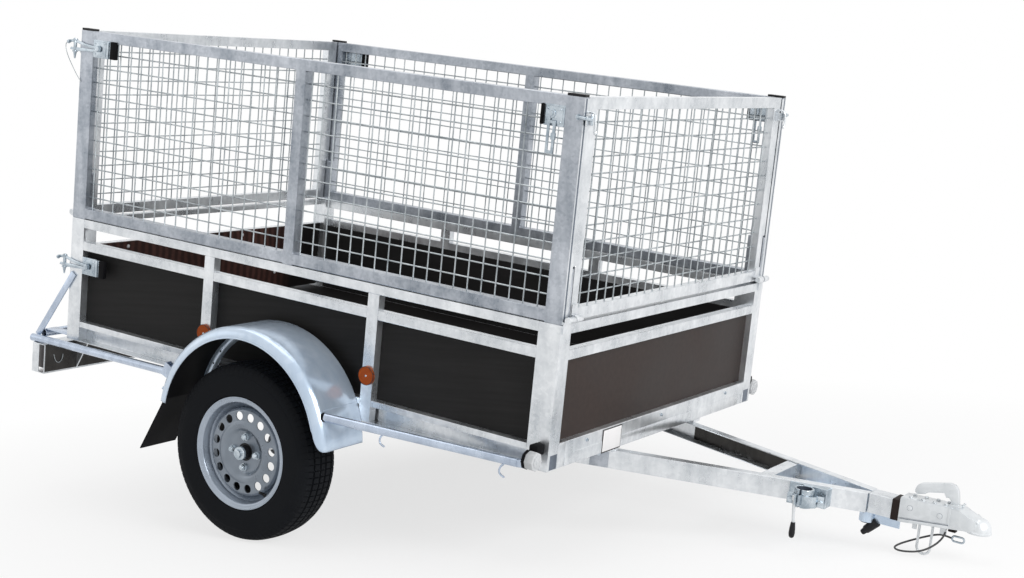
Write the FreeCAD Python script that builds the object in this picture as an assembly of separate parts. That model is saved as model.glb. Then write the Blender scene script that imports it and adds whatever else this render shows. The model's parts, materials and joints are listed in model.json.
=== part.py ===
"""Single-axle utility trailer with a welded-mesh cage, parked nose-down on the wire foot of its drawbar.

Everything is first built in the level trailer frame: +X forward, +Y left, +Z up, x = 0 at the rear face
of the corner posts, y = 0 on the centre line, z = 0 at the underside of the sills. The finished solids
are then pitched about Y until tyres and wire foot share one floor, and moved so that the floor is z = 0
and the origin lies under the middle of the trailer.

Length of a leading share: numbers in names ending share or shares are parts of another size.
"""
import FreeCAD, Part
import math
import os

V = FreeCAD.Vector

# fits
seat_gap = 0.2
moving_gap = 5.2
running_gap = 0.06
overrun = 10.0

# body
bed_length = 2026.0
bed_width = 1370.0
body_height = 437.0
sill_height = 72.0
sill_flange = 42.0
sill_wall = 3.0
sill_strip = 20.0
front_sill_height = 78.0
front_sill_end_gap = 38.0
cross_member_width = 40.0
cross_member_height = 60.0
cross_member_wall = 3.0
cross_member_leads = (-438.0, 137.0)
floor_thickness = 12.0
rear_post_length = 60.0
front_post_length = 76.0
post_depth = 58.0
post_wall = 3.0
upright_length = 43.0
upright_depth = 30.0
upright_insets = (4.0, 7.0)
rail_height = 30.0
rail_depth = 40.0
rail_wall = 2.0
mid_rail_drop = 109.0
rear_rail_height = 20.0
board_thickness = 9.0
board_lap = 3.0

# tailgate and hinges
tailgate_side_gap = 6.0
tailgate_tube = 30.0
tailgate_setback = 4.0
tailgate_top_rise = 12.0
pin_radius = 6.0
barrel_radius = 10.0
knuckle_length = 24.0
leaf_thickness = 4.0
leaf_height = 36.0
leaf_rise = 6.0
tailgate_hinge_insets = (505.0, 215.0)
tailgate_pin_rise = 6.0

# cage
cage_seam = 3.0
cage_height = 650.0
cage_rail = 35.0
cage_depth = 40.0
cage_post_depth = 25.0
cage_post_length = 60.0
cage_mid_post_length = 40.0
cage_mid_post_setback = 23.0
cage_sleeve_height = 160.0
post_cap_thickness = 7.0
gate_side_gap = 5.5
gate_tube_width = 50.0
gate_tube_depth = 30.0
gate_lift = 6.0
gate_setback = 2.0
gate_pin_rise = 16.0
gate_knuckle_length = 34.0
mesh_pitch = 50.0
mesh_lead = 17.0
wire_diameter = 4.0
wire_sides = 6
weld_gap = 0.1

# latches and catches
latch_plate_length = 70.0
latch_plate_height = 62.0
latch_plate_thickness = 4.0
latch_block_length = 18.0
front_latch_block_length = 8.0
latch_block_thickness = 16.0
latch_block_height = 60.0
latch_arm_radius = 5.0
latch_arm_overhang = 45.0
latch_pin_radius = 4.0
latch_pin_length = 44.0
latch_lever_length = 92.0
body_latch_drop = 163.0
catch_thickness = 4.0
catch_height = 28.0
catch_root = 28.0

# wheels and axle
wheel_setback = 15.0
wheel_drop = 156.0
wheel_gap = 23.0
tyre_radius = 287.0
tyre_width = 155.0
tyre_outline_shares = ((0.80, 0.0), (0.86, 0.13), (0.97, 0.32), (1.0, 0.52), (0.94, 0.75), (0.82, 0.90),
                       (0.66, 0.97), (0.36, 0.997))
tyre_cavity_shares = ((0.64, 0.05), (0.84, 0.50), (0.60, 0.86))
rim_flange_radius = 181.5
rim_seat_radius = 165.0
rim_well_radius = 146.0
rim_width = 142.0
rim_flange_width = 9.0
rim_seat_width = 26.0
rim_seat_fall = 2.0
rim_well_slope = 13.0
rim_sheet = 3.5
disc_recess = 20.0
disc_depth = 30.0
disc_outline_shares = ((0.30, 0.46), (-0.12, 0.555), (-0.18, 0.66), (0.0, 0.70), (0.03, 0.905), (0.62, 0.955),
                       (1.0, 0.979))
disc_hole_circle_radius = 117.6
disc_hole_radius = 14.0
disc_hole_count = 16
disc_hole_turn_share = 0.6
disc_bore_radius = 29.0
stud_circle_radius = 50.0
stud_count = 4
stud_radius = 6.0
nut_radius = 11.0
nut_height = 19.0
hub_flange_radius = 62.0
hub_flange_thickness = 9.0
hub_barrel_radius = 36.0
hub_barrel_length = 58.0
hub_cap_radius = 22.0
hub_cap_length = 45.0
hub_cap_wall = 4.0
stub_radius = 15.0
axle_beam_size = 60.0
axle_beam_wall = 4.0
axle_lead = 125.0
axle_drop = 86.0
swing_arm_thickness = 18.0
swing_arm_end_radius = 38.0
axle_clear_of_tyre = 30.0
axle_bracket_length = 90.0
axle_bracket_thickness = 8.0
axle_bracket_inset = 60.0

# mudguards and flaps
guard_lead = 7.0
guard_rise = 59.0
guard_clearance = 63.0
guard_lip_drop = 37.0
guard_width = 203.0
guard_sheet = 2.5
guard_front_angle = 5.0
guard_corner_sweep = 18.0
guard_corner_steps = 8
guard_rear_angle = 172.0
guard_shoulder_radius = 30.0
guard_shoulder_steps = 5
flap_thickness = 5.0
flap_top_angle = 122.0
flap_tail_length = 215.0
flap_tail_lean = 27.0
flap_inset = 12.0

# mudguard stays, rear bar and lamps
side_tube_radius = 13.5
side_tube_wall = 2.5
stay_end_inset = 34.0
rear_stay_start = -154.0
rear_stay_bend = -95.0
rear_stay_start_drop = 23.0
rear_stay_bend_drop = 21.0
rear_stay_angle = 156.6
front_stay_angle = 22.5
front_stay_bend_setback = 241.0
front_stay_bend_rise = 7.0
front_stay_end_setback = 91.0
front_stay_end_rise = 10.0
stay_clip_reach = 30.0
stay_clip_width = 24.0
stay_clip_sheet = 3.0
stay_clip_sweep = 3.5
light_bar_front = 77.0
light_bar_depth = 63.0
light_bar_height = 107.0
light_bar_wall = 3.0
light_bar_end_length = 34.0
light_bar_overhang = 30.0
step_tube_place = 118.0
step_tube_radius = 14.0
step_tube_wall = 2.0
step_tube_drop = 3.0
brace_width = 25.0
brace_thickness = 5.0
brace_top_drop = 196.0
rear_bracket_inset = 120.0
rear_bracket_thickness = 5.0
lamp_length = 215.0
lamp_height = 84.0
lamp_depth = 64.0
lamp_inset = 22.0

# drawbar
arm_top_drop = 10.0
arm_height = 60.0
arm_flange = 34.0
arm_wall = 3.5
arm_spread_at_front = 272.0
arm_tip_half_width = 40.0
arm_overlap = 626.0
drawbar_reach = 739.0
head_length = 118.0
head_width = 62.0
head_wall = 4.0
drawbar_brace_setback = 325.0
drawbar_brace_size = 40.0
saddle_length = 70.0
saddle_overhang = 12.0

# coupling
coupling_lead = 92.0
coupling_straight = 180.0
coupling_width = 72.0
coupling_top_rise = 3.0
coupling_drop = 72.0
neck_drop = 13.0
neck_width = 60.0
ball_lead = 239.0
ball_drop = 46.0
ball_radius = 25.0
ball_gap = 0.5
dome_radius = 38.0
cup_depth = 16.0
handle_width = 26.0
handle_pivot_lead = 163.0
handle_rise = 55.0
handle_reach = 130.0
handle_outline_shares = ((-0.10, 0.0), (0.10, 0.0), (0.08, 0.95), (-0.03, 1.0), (-0.98, 0.62), (-1.0, 0.30),
                         (-0.92, 0.28), (-0.12, 0.64))

# jockey-wheel clamp, plug, wire foot
clamp_setback = 160.0
clamp_bore_radius = 24.0
clamp_wall = 6.0
clamp_height = 56.0
clamp_gap = 7.0
clamp_ear_thickness = 6.0
clamp_ear_reach = 26.0
clamp_ear_height = 32.0
clamp_plate_length = 120.0
clamp_plate_thickness = 6.0
lever_hub_radius = 11.0
lever_hub_length = 12.0
lever_radius = 5.0
lever_length = 118.0
lever_grip_radius = 8.0
lever_grip_length = 42.0
plug_ring_setback = 6.0
plug_ring_radius = 24.0
plug_ring_wall = 4.0
plug_ring_height = 34.0
plug_bar_lead = 5.0
plug_length = 54.0
foot_rod_radius = 4.0
foot_front_lead = 105.0
foot_leg_spacing = 40.0
foot_centre_drop = 140.0

# safety cable: chosen points, measured from the start of the coupling
cable_radius = 3.0
cable_bend_share = 0.45
cable_route = ((148.0, -16.0, -72.2), (146.0, -20.0, -96.0), (98.0, -34.0, -142.0), (38.0, -36.0, -158.0),
               (0.0, -12.0, -164.0), (0.0, 14.0, -158.0), (44.0, 34.0, -134.0), (106.0, 34.0, -102.0),
               (139.0, 10.0, -90.0), (162.8, 0.0, -90.0))
hook_length = 42.0
hook_bend_radius = 8.0
hook_rod_radius = 3.0

# reflectors and marker lamps
reflector_radius = 30.0
reflector_thickness = 8.0
reflector_height = 148.0
marker_height = 44.0
marker_radius = 25.0
marker_sides = 8
marker_depth = 24.0
marker_arm_size = 26.0
marker_arm_length = 22.0
marker_arm_inset = 30.0

half_width = bed_width / 2
wheel_place = bed_length / 2 - wheel_setback
wheel_height = -wheel_drop
wheel_half_track = half_width + wheel_gap + tyre_width / 2
disc_bowl_recess = disc_recess + disc_depth * disc_outline_shares[0][0]
guard_place = wheel_place + guard_lead
guard_crown_radius = tyre_radius + guard_clearance
guard_lip_radius = guard_crown_radius - guard_lip_drop
upright_places = [guard_place - guard_crown_radius + upright_insets[0],
                  guard_place + guard_crown_radius - upright_insets[1]]
mid_rail_base = body_height - mid_rail_drop
arm_rear_place = bed_length - arm_overlap
cross_member_places = [wheel_place + lead for lead in cross_member_leads] + [arm_rear_place]
head_place = bed_length + drawbar_reach
clamp_place = head_place - clamp_setback
coupling_start = head_place + coupling_lead
ball_place = coupling_start + ball_lead
cage_base = body_height + cage_seam
cage_top = cage_base + cage_height
sleeve_top = cage_base + cage_sleeve_height
floor_base = sill_height - floor_thickness
mid_rail_top = mid_rail_base + rail_height
upper_rail_base = body_height - rail_height
leaf_offset = leaf_thickness + barrel_radius + weld_gap * barrel_radius
tailgate_pin_height = sill_height + tailgate_pin_rise
gate_base = cage_base + gate_lift
gate_pin_height = body_height + gate_pin_rise
gate_reach_low = half_width - cage_depth - gate_side_gap
gate_reach_high = half_width - cage_post_depth - gate_side_gap
stay_offset = half_width + brace_thickness + 2 * seat_gap + side_tube_radius
stay_end_offset = half_width + guard_width - stay_end_inset
arm_slope = (arm_spread_at_front - arm_tip_half_width) / (head_place - bed_length)
guard_centre = V(guard_place, 0, wheel_height + guard_rise)
foot_centre_place = coupling_start + foot_front_lead - foot_leg_spacing / 2
pieces = {}


def add(node, *solids):
    """Store solids under a node's name; a node may hold several that don't touch."""
    pieces.setdefault(node, []).extend(solids)


def add_to(node, solid):
    """Join a solid to the first solid of a node."""
    pieces[node][0] = pieces[node][0].fuse(solid)


def both_sides(solid):
    """A solid and its mirror image on the other side of the trailer."""
    return [solid, solid.mirror(V(0, 0, 0), V(0, 1, 0))]


def add_pair(name, right):
    """Add a right-hand solid and its mirror image under two node names."""
    near, far = both_sides(right)
    add(name + "_right", near)
    add(name + "_left", far)


def box(x_a, x_b, y_a, y_b, z_a, z_b):
    """A rectangular block between two places along each axis, given in either order."""
    low = V(min(x_a, x_b), min(y_a, y_b), min(z_a, z_b))
    return Part.makeBox(abs(x_b - x_a), abs(y_b - y_a), abs(z_b - z_a), low)


def tube(x_a, x_b, y_a, y_b, z_a, z_b, wall, along):
    """A rectangular tube, open at both ends along the named axis."""
    grow = {axis: (overrun if axis == along else -wall) for axis in "xyz"}
    bore = box(x_a - grow["x"], x_b + grow["x"], y_a - grow["y"], y_b + grow["y"],
               z_a - grow["z"], z_b + grow["z"])
    return box(x_a, x_b, y_a, y_b, z_a, z_b).cut(bore)


def prism(points, direction):
    """A closed outline extruded along a vector."""
    return Part.Face(Part.makePolygon(points + [points[0]])).extrude(direction)


def rod(start, end, radius):
    """A round bar between two points."""
    return Part.makeCylinder(radius, (end - start).Length, start, end - start)


def pipe(start, end, radius, wall):
    """A round tube between two points, open at both ends."""
    along = (end - start).normalize() * overrun
    return rod(start, end, radius).cut(rod(start - along, end + along, radius - wall))


def strip(start, end, width, thickness):
    """A flat bar between two points, its thickness given as a vector."""
    across = (end - start).cross(thickness).normalize() * (width / 2)
    return prism([start + across, end + across, end - across, start - across], thickness)


def turned(points, centre, axis):
    """A solid of revolution from (distance along the axis, radius) pairs."""
    section = [centre + axis * along + V(0, 0, radius) for along, radius in points]
    return Part.Face(Part.makePolygon(section + [section[0]])).revolve(centre, axis, 360)


def cord(points, radius):
    """A round cord: straight runs between the points, joined by tangent arcs."""
    edges = []
    start = points[0]
    for before, corner, after in zip(points, points[1:], points[2:]):
        back = before - corner
        ahead = after - corner
        half_turn = (math.pi - back.getAngle(ahead)) / 2
        cut = cable_bend_share * min(back.Length, ahead.Length)
        arc_radius = cut / math.tan(half_turn)
        back.normalize()
        ahead.normalize()
        inward = (back + ahead).normalize()
        first = corner + back * cut
        last = corner + ahead * cut
        middle = corner + inward * (arc_radius / math.cos(half_turn) - arc_radius)
        edges.append(Part.LineSegment(start, first).toShape())
        edges.append(Part.Arc(first, middle, last).toShape())
        start = last
    edges.append(Part.LineSegment(start, points[-1]).toShape())
    end_circle = Part.Wire(Part.makeCircle(radius, points[0], points[1] - points[0]))
    return Part.Wire(edges).makePipeShell([end_circle], True, True)


def make_chassis():
    """C-channel side sills, cross members and the floor board."""
    y_out = -half_width
    y_in = y_out + sill_flange
    x_rear, x_front = rear_post_length, bed_length - front_post_length
    web = box(x_rear, x_front, y_in - sill_wall, y_in, 0, sill_height)
    top = box(x_rear, x_front, y_out, y_in, sill_height - sill_strip, sill_height)
    low = box(x_rear, x_front, y_out, y_in, 0, sill_wall)
    sill = web.fuse([top, low]).removeSplitter()
    for middle in upright_places:
        half = upright_length / 2
        sill = sill.cut(box(middle - half, middle + half, y_out, y_out + upright_depth,
                            sill_wall, sill_height + overrun))
    add("side_sills", *both_sides(sill))
    inner = half_width - post_depth
    add("cross_members", tube(0, cross_member_width, -inner, inner, 0, floor_base, cross_member_wall, "y"))
    reach = half_width - sill_flange
    for place in cross_member_places:
        add("cross_members", tube(place, place + cross_member_width, -reach, reach,
                                  0, cross_member_height, cross_member_wall, "y"))
    half_sill = inner - front_sill_end_gap
    x_sill = bed_length - cross_member_width
    add("front_sill", tube(x_sill, bed_length, -half_sill, half_sill, 0, front_sill_height,
                           cross_member_wall, "y"))
    board = box(0, x_sill, -reach, reach, floor_base, sill_height)
    for x_low, x_high in ((0, x_rear), (x_front, bed_length)):
        for side in (-1, 1):
            board = board.cut(box(x_low, x_high, side * inner, side * half_width, 0, body_height))
    add("floor_board", board)


def make_body_walls():
    """Corner posts, uprights, rails and plywood boards of the fixed walls."""
    y_out = -half_width
    x_rear, x_front = rear_post_length, bed_length - front_post_length
    for x_low, x_high in ((0, x_rear), (x_front, bed_length)):
        add("body_posts", *both_sides(tube(x_low, x_high, y_out, y_out + post_depth, 0, body_height,
                                           post_wall, "z")))
    half = upright_length / 2
    for middle in upright_places:
        add("body_posts", *both_sides(tube(middle - half, middle + half, y_out, y_out + upright_depth,
                                           sill_wall, upper_rail_base, rail_wall, "z")))
    add("body_rails", *both_sides(tube(x_rear, x_front, y_out, y_out + rail_depth,
                                       upper_rail_base, body_height, rail_wall, "x")))
    stops = [x_rear]
    for middle in upright_places:
        stops += [middle - half, middle + half]
    stops.append(x_front)
    for start, end in zip(stops[0::2], stops[1::2]):
        add("body_rails", *both_sides(tube(start, end, y_out, y_out + upright_depth,
                                           mid_rail_base, mid_rail_top, rail_wall, "x")))
    inner = half_width - post_depth
    add("body_rails", tube(0, upright_depth, -inner, inner, body_height - rear_rail_height, body_height,
                           rail_wall, "y"))
    x_board = bed_length - upright_depth
    for base in (upper_rail_base, mid_rail_base):
        add("body_rails", tube(x_board, bed_length, -inner, inner, base, base + rail_height, rail_wall, "y"))
    board_y = y_out + upright_depth
    add_pair("side_board", box(x_rear, x_front, board_y, board_y + board_thickness,
                               sill_height, mid_rail_base + board_lap))
    add("front_board", box(x_board, x_board + board_thickness, -inner, inner,
                           front_sill_height, mid_rail_base))


def make_tailgate():
    """The tailgate between the rear posts: a frame of square tube with the board on its inner face."""
    reach = half_width - post_depth - tailgate_side_gap
    base = tailgate_pin_height + leaf_rise
    top = mid_rail_base + tailgate_top_rise
    x_low, x_high = tailgate_setback, tailgate_setback + tailgate_tube
    window = box(x_low - overrun, x_high + overrun, -reach + tailgate_tube, reach - tailgate_tube,
                 base + tailgate_tube, top - tailgate_tube)
    add("tailgate_frame", box(x_low, x_high, -reach, reach, base, top).cut(window))
    add("tailgate_board", box(x_high, x_high + board_thickness, -reach, reach, base, top))


def wire(start, end, flat_normal):
    """A straight six-sided wire of the mesh with one pair of flats across the given direction."""
    along = end - start
    second = V(along).cross(flat_normal).normalize()
    circum = wire_diameter / 2 / math.cos(math.pi / wire_sides)
    points = []
    for k in range(wire_sides):
        angle = math.pi / wire_sides + 2 * math.pi * k / wire_sides
        points.append(start + flat_normal * (circum * math.cos(angle)) + second * (circum * math.sin(angle)))
    return prism(points, along)


def level_rows(z_low, z_high):
    """Heights of the level wires, centred between two rails."""
    count = int((z_high - z_low) // mesh_pitch)
    first = (z_low + z_high) / 2 - (count - 1) * mesh_pitch / 2
    return [first + k * mesh_pitch for k in range(count)]


def side_mesh(spans, z_low, z_high):
    """Welded mesh of the right cage side: upright wires outside, level wires inside."""
    across = V(0, 1, 0)
    middle = -half_width + cage_depth / 2
    outer = middle - (wire_diameter + weld_gap) / 2
    inner = middle + (wire_diameter + weld_gap) / 2
    wires = []
    for x_low, x_high in spans:
        x = x_low + mesh_lead
        while x < x_high - wire_diameter:
            wires.append(wire(V(x, outer, z_low), V(x, outer, z_high), across))
            x += mesh_pitch
        for z in level_rows(z_low, z_high):
            wires.append(wire(V(x_low, inner, z), V(x_high, inner, z), across))
    return wires


def make_cage_sides():
    """The two fixed side frames of the cage with their mesh."""
    y_out = -half_width
    y_in = y_out + cage_depth
    z_low, z_high = cage_base + cage_rail, cage_top - cage_rail
    mid_low = bed_length / 2 - cage_mid_post_setback - cage_mid_post_length / 2
    mid_high = mid_low + cage_mid_post_length
    spans = ((cage_post_length, mid_low), (mid_high, bed_length - cage_post_length))
    frame = box(0, bed_length, y_out, y_in, cage_base, cage_top)
    for x_low, x_high in spans:
        frame = frame.cut(box(x_low, x_high, y_out - overrun, y_in + overrun, z_low, z_high))
    ends = ((0, cage_post_length), (bed_length - cage_post_length, bed_length))
    for x_low, x_high in ends:
        frame = frame.cut(box(x_low, x_high, y_out + cage_post_depth, y_in + overrun,
                              sleeve_top, cage_top + overrun))
    for x_low, x_high in ends + ((mid_low, mid_high),):
        frame = frame.fuse(box(x_low, x_high, y_out, y_in, body_height, cage_base))
    add_pair("cage_side", frame.removeSplitter())
    for x_low, x_high in ends:
        add("post_caps", *both_sides(box(x_low, x_high, y_out, y_out + cage_post_depth,
                                         cage_top, cage_top + post_cap_thickness)))
    wires = side_mesh(spans, z_low, z_high)
    add("cage_mesh_right", *wires)
    add("cage_mesh_left", *[both_sides(piece)[1] for piece in wires])


def make_gate(name, end_face, outward):
    """A cage gate between the side frames, narrower beside the thick feet of the cage posts."""
    outer_x = end_face - outward * gate_setback
    inner_x = outer_x - outward * gate_tube_depth
    z_low, z_high = gate_base + cage_rail, cage_top - cage_rail
    half_span = gate_reach_high - gate_tube_width
    step = sleeve_top + gate_side_gap
    frame = box(outer_x, inner_x, -gate_reach_high, gate_reach_high, step, cage_top)
    frame = frame.fuse(box(outer_x, inner_x, -gate_reach_low, gate_reach_low, gate_base, step))
    frame = frame.cut(box(outer_x + outward * overrun, inner_x - outward * overrun, -half_span, half_span,
                          z_low, z_high))
    add("gate_frame_" + name, frame.removeSplitter())
    across = V(1, 0, 0)
    middle = (outer_x + inner_x) / 2
    outer = middle + outward * (wire_diameter + weld_gap) / 2
    inner = middle - outward * (wire_diameter + weld_gap) / 2
    count = int(2 * half_span // mesh_pitch)
    for k in range(count):
        y = (k - (count - 1) / 2) * mesh_pitch
        add("gate_mesh_" + name, wire(V(outer, y, z_low), V(outer, y, z_high), across))
    for z in level_rows(z_low, z_high):
        add("gate_mesh_" + name, wire(V(inner, -half_span, z), V(inner, half_span, z), across))


def knuckle(x_pin, z_pin, y_a, y_b, leaf, bore_radius):
    """One hinge knuckle around the pin, joined to its leaf; a bore is cut where it turns on the pin."""
    start, end = V(x_pin, y_a, z_pin), V(x_pin, y_b, z_pin)
    body = rod(start, end, barrel_radius).fuse(leaf)
    along = (end - start).normalize() * overrun
    return body.cut(rod(start - along, end + along, bore_radius))


def leaf_with_web(x_face, x_pin, outward, y_a, y_b, z_pin, upward):
    """A hinge leaf on a face, with the short web that reaches from the leaf to the barrel."""
    z_near = z_pin + upward * leaf_rise
    leaf = box(x_face, x_face + outward * leaf_thickness, y_a, y_b, z_near, z_near + upward * leaf_height)
    web = box(x_face, x_pin, y_a, y_b, z_near, z_near + upward * leaf_rise)
    return leaf.fuse(web)


def make_hinge(fixed_node, moving_node, end_face, moving_face, outward, z_pin, fixed_spans, moving_span):
    """A hinge on both sides: pin and fixed knuckles on the body, the turning knuckle on the flap."""
    x_pin = end_face + outward * leaf_offset
    spans = list(fixed_spans) + [moving_span]
    y_low = min(min(span) for span in spans)
    y_high = max(max(span) for span in spans)
    for side in (-1, 1):
        pin = rod(V(x_pin, side * y_low, z_pin), V(x_pin, side * y_high, z_pin), pin_radius)
        fixed = pin
        for y_a, y_b in fixed_spans:
            leaf = leaf_with_web(end_face, x_pin, outward, side * y_a, side * y_b, z_pin, -1)
            fixed = fixed.fuse(knuckle(x_pin, z_pin, side * y_a, side * y_b, leaf, pin_radius).fuse(
                rod(V(x_pin, side * y_a, z_pin), V(x_pin, side * y_b, z_pin), pin_radius)))
        add(fixed_node, fixed.removeSplitter())
        y_a, y_b = moving_span
        leaf = leaf_with_web(moving_face, x_pin, outward, side * y_a, side * y_b, z_pin, 1)
        add_to(moving_node, knuckle(x_pin, z_pin, side * y_a, side * y_b, leaf, pin_radius + running_gap))


def catch(node, end_face, moving_face, outward, y_reach, z):
    """The straps of a flap that the latches on both side faces hold."""
    near = end_face + outward * moving_gap
    far = near + outward * catch_thickness
    z_low, z_high = z - catch_height / 2, z + catch_height / 2
    root = box(moving_face, far, -y_reach, -y_reach + catch_root, z_low, z_high)
    arm = box(near, far, -half_width + moving_gap, -y_reach + catch_root, z_low, z_high)
    for strap in both_sides(root.fuse(arm)):
        add_to(node, strap)


def latch(end_face, outward, post_length, block_length, z, lever_length_down):
    """A latch beside a corner post on both sides: plate, block, arm past the post, end pin and lever."""
    y_face = -half_width
    x_post = end_face - outward * post_length
    x_plate = x_post - outward * latch_plate_length
    half = latch_plate_height / 2
    plate = box(x_post, x_plate, y_face, y_face + latch_plate_thickness, z - half, z + half)
    y_arm = y_face - latch_arm_radius - seat_gap
    x_boss = (x_post + x_plate) / 2
    x_end = end_face + outward * latch_arm_overhang
    boss = rod(V(x_boss, y_face + latch_plate_thickness, z), V(x_boss, y_arm, z), latch_arm_radius)
    arm = rod(V(x_boss, y_arm, z), V(x_end, y_arm, z), latch_arm_radius)
    pin = rod(V(x_end, y_arm, z - latch_pin_length / 2), V(x_end, y_arm, z + latch_pin_length / 2),
              latch_pin_radius)
    body = plate.fuse([boss, arm, pin])
    if lever_length_down:
        body = body.fuse(rod(V(x_boss, y_arm, z), V(x_boss, y_arm, z - lever_length_down), latch_pin_radius))
    add("latches", *both_sides(body))
    block = box(x_plate, x_plate - outward * block_length, y_face - latch_block_thickness / 2,
                y_face + latch_block_thickness / 2, z - latch_block_height / 2, z + latch_block_height / 2)
    add("latch_blocks", *both_sides(block))


def make_hinges_and_latches():
    """Hinges and latches of the tailgate and of both cage gates."""
    gap = weld_gap * barrel_radius
    for inset in tailgate_hinge_insets:
        place = half_width - inset
        first = (place, place + knuckle_length)
        second = (first[1] + gap, first[1] + gap + knuckle_length)
        third = (second[1] + gap, second[1] + gap + knuckle_length)
        make_hinge("tailgate_hinges", "tailgate_frame", 0, tailgate_setback, -1, tailgate_pin_height,
                   (first, third), second)
    fixed_low = half_width - cage_depth
    fixed_span = (fixed_low, fixed_low + gate_knuckle_length)
    moving_span = (gate_reach_low - gate_knuckle_length, gate_reach_low - gap)
    latch_height = cage_top - cage_rail - latch_plate_height / 2
    for name, end_face, outward, block_length in (("rear", 0, -1, latch_block_length),
                                                  ("front", bed_length, 1, front_latch_block_length)):
        make_hinge("gate_hinges", "gate_frame_" + name, end_face, end_face - outward * gate_setback,
                   outward, gate_pin_height, (fixed_span,), moving_span)
        catch("gate_frame_" + name, end_face, end_face - outward * gate_setback, outward,
              gate_reach_high, latch_height)
        latch(end_face, outward, cage_post_length, block_length, latch_height, latch_lever_length)
    body_latch_height = body_height - body_latch_drop
    catch("tailgate_frame", 0, tailgate_setback, -1, half_width - post_depth - tailgate_side_gap,
          body_latch_height)
    latch(0, -1, rear_post_length, latch_block_length, body_latch_height, 0)


def make_wheels():
    """Tyre, rim and hub of the right wheel, and their mirror images."""
    centre = V(wheel_place, -wheel_half_track, wheel_height)
    axis = V(0, 1, 0)
    half_tyre = tyre_width / 2
    side = tyre_radius - rim_seat_radius - seat_gap
    seat = rim_seat_radius + seat_gap
    outline = [(-half_tyre * across, seat + side * up) for across, up in tyre_outline_shares]
    outline += [(-along, radius) for along, radius in reversed(outline)]
    cavity = [(half_tyre * across, seat + side * up) for across, up in tyre_cavity_shares]
    cavity += [(-along, radius) for along, radius in reversed(cavity)]
    add_pair("tyre", turned(outline + cavity, centre, axis))
    half_rim = rim_width / 2
    seat_end = half_rim - rim_flange_width - rim_seat_width
    outer_line = [(-half_rim, rim_flange_radius), (-half_rim + rim_flange_width, rim_seat_radius),
                  (-seat_end, rim_seat_radius - rim_seat_fall), (-seat_end + rim_well_slope, rim_well_radius)]
    outer_line += [(-along, radius) for along, radius in reversed(outer_line)]
    inner_line = [(along, radius - rim_sheet) for along, radius in reversed(outer_line)]
    barrel = turned(outer_line + inner_line, centre, axis)
    face = -half_rim + disc_recess
    bowl = -half_rim + disc_bowl_recess
    disc_line = [(bowl, disc_bore_radius)]
    disc_line += [(face + disc_depth * deep, rim_well_radius * out) for deep, out in disc_outline_shares]
    back_line = [(along + rim_sheet, radius) for along, radius in reversed(disc_line)]
    disc = turned(disc_line + back_line, centre, axis)
    for k in range(disc_hole_count):
        angle = 2 * math.pi * (k + disc_hole_turn_share) / disc_hole_count
        around = V(math.cos(angle), 0, math.sin(angle)) * disc_hole_circle_radius
        disc = disc.cut(rod(centre + around - axis * half_rim, centre + around + axis * half_rim,
                            disc_hole_radius))
    back = bowl + rim_sheet
    hub_line = [(back, stub_radius + running_gap), (back, hub_flange_radius),
                (back + hub_flange_thickness, hub_flange_radius),
                (back + hub_flange_thickness, hub_barrel_radius),
                (back + hub_barrel_length, hub_barrel_radius),
                (back + hub_barrel_length, stub_radius + running_gap)]
    hub = turned(hub_line, centre, axis)
    cap_end = back - hub_cap_length
    cap_inside = hub_cap_radius - hub_cap_wall
    cap_line = [(cap_end, 0), (cap_end, cap_inside), (cap_end + hub_cap_wall, hub_cap_radius),
                (back, hub_cap_radius), (back, cap_inside), (cap_end + hub_cap_wall, cap_inside),
                (cap_end + hub_cap_wall, 0)]
    hub = hub.fuse(turned(cap_line, centre, axis))
    for k in range(stud_count):
        angle = 2 * math.pi * k / stud_count + math.pi / 2
        seat_point = centre + V(math.cos(angle), 0, math.sin(angle)) * stud_circle_radius + axis * bowl
        nut_end = seat_point - axis * nut_height
        hub = hub.fuse([rod(seat_point - axis * seat_gap, nut_end, nut_radius),
                        rod(nut_end, seat_point + axis * hub_flange_thickness, stud_radius)])
        disc = disc.cut(rod(nut_end, seat_point + axis * hub_flange_thickness, stud_radius + seat_gap))
    add_pair("rim", barrel.fuse(disc))
    add_pair("hub", hub)


def make_axle():
    """Torsion beam with its brackets, and the trailing arms with their stub axles."""
    beam_x = wheel_place + axle_lead
    beam_z = -axle_drop
    beam_end = wheel_half_track - tyre_width / 2 - axle_clear_of_tyre - swing_arm_thickness
    half = axle_beam_size / 2
    beam = tube(beam_x - half, beam_x + half, -beam_end, beam_end, beam_z - half, beam_z + half,
                axle_beam_wall, "y")
    bracket_y = half_width - sill_flange - axle_bracket_inset
    for side in (-1, 1):
        beam = beam.fuse(box(beam_x - axle_bracket_length / 2, beam_x + axle_bracket_length / 2,
                             side * bracket_y, side * (bracket_y + axle_bracket_thickness),
                             beam_z + half, 0))
    add("axle_beam", beam)
    start = V(beam_x, -beam_end, beam_z)
    end = V(wheel_place, -beam_end, wheel_height)
    outward = V(0, -swing_arm_thickness, 0)
    across = V(0, 1, 0).cross(end - start).normalize() * swing_arm_end_radius
    web = prism([start + across, end + across, end - across, start - across], outward)
    hub_front = -wheel_half_track - rim_width / 2 + disc_bowl_recess + rim_sheet
    arm = rod(start, start + outward, swing_arm_end_radius).fuse([
        rod(end, end + outward, swing_arm_end_radius), web,
        rod(end, V(wheel_place, hub_front, wheel_height), stub_radius)])
    add("swing_arms", *both_sides(arm))


def guard_band(points, low_angle, high_angle):
    """A rolled sheet: (y, radius) outline swept about the guard's centre between two angles."""
    start = [guard_centre + V(radius, y, 0) for y, radius in points]
    face = Part.Face(Part.makePolygon(start + [start[0]]))
    band = face.revolve(guard_centre, V(0, -1, 0), high_angle - low_angle)
    band.rotate(guard_centre, V(0, -1, 0), low_angle)
    return band


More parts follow.
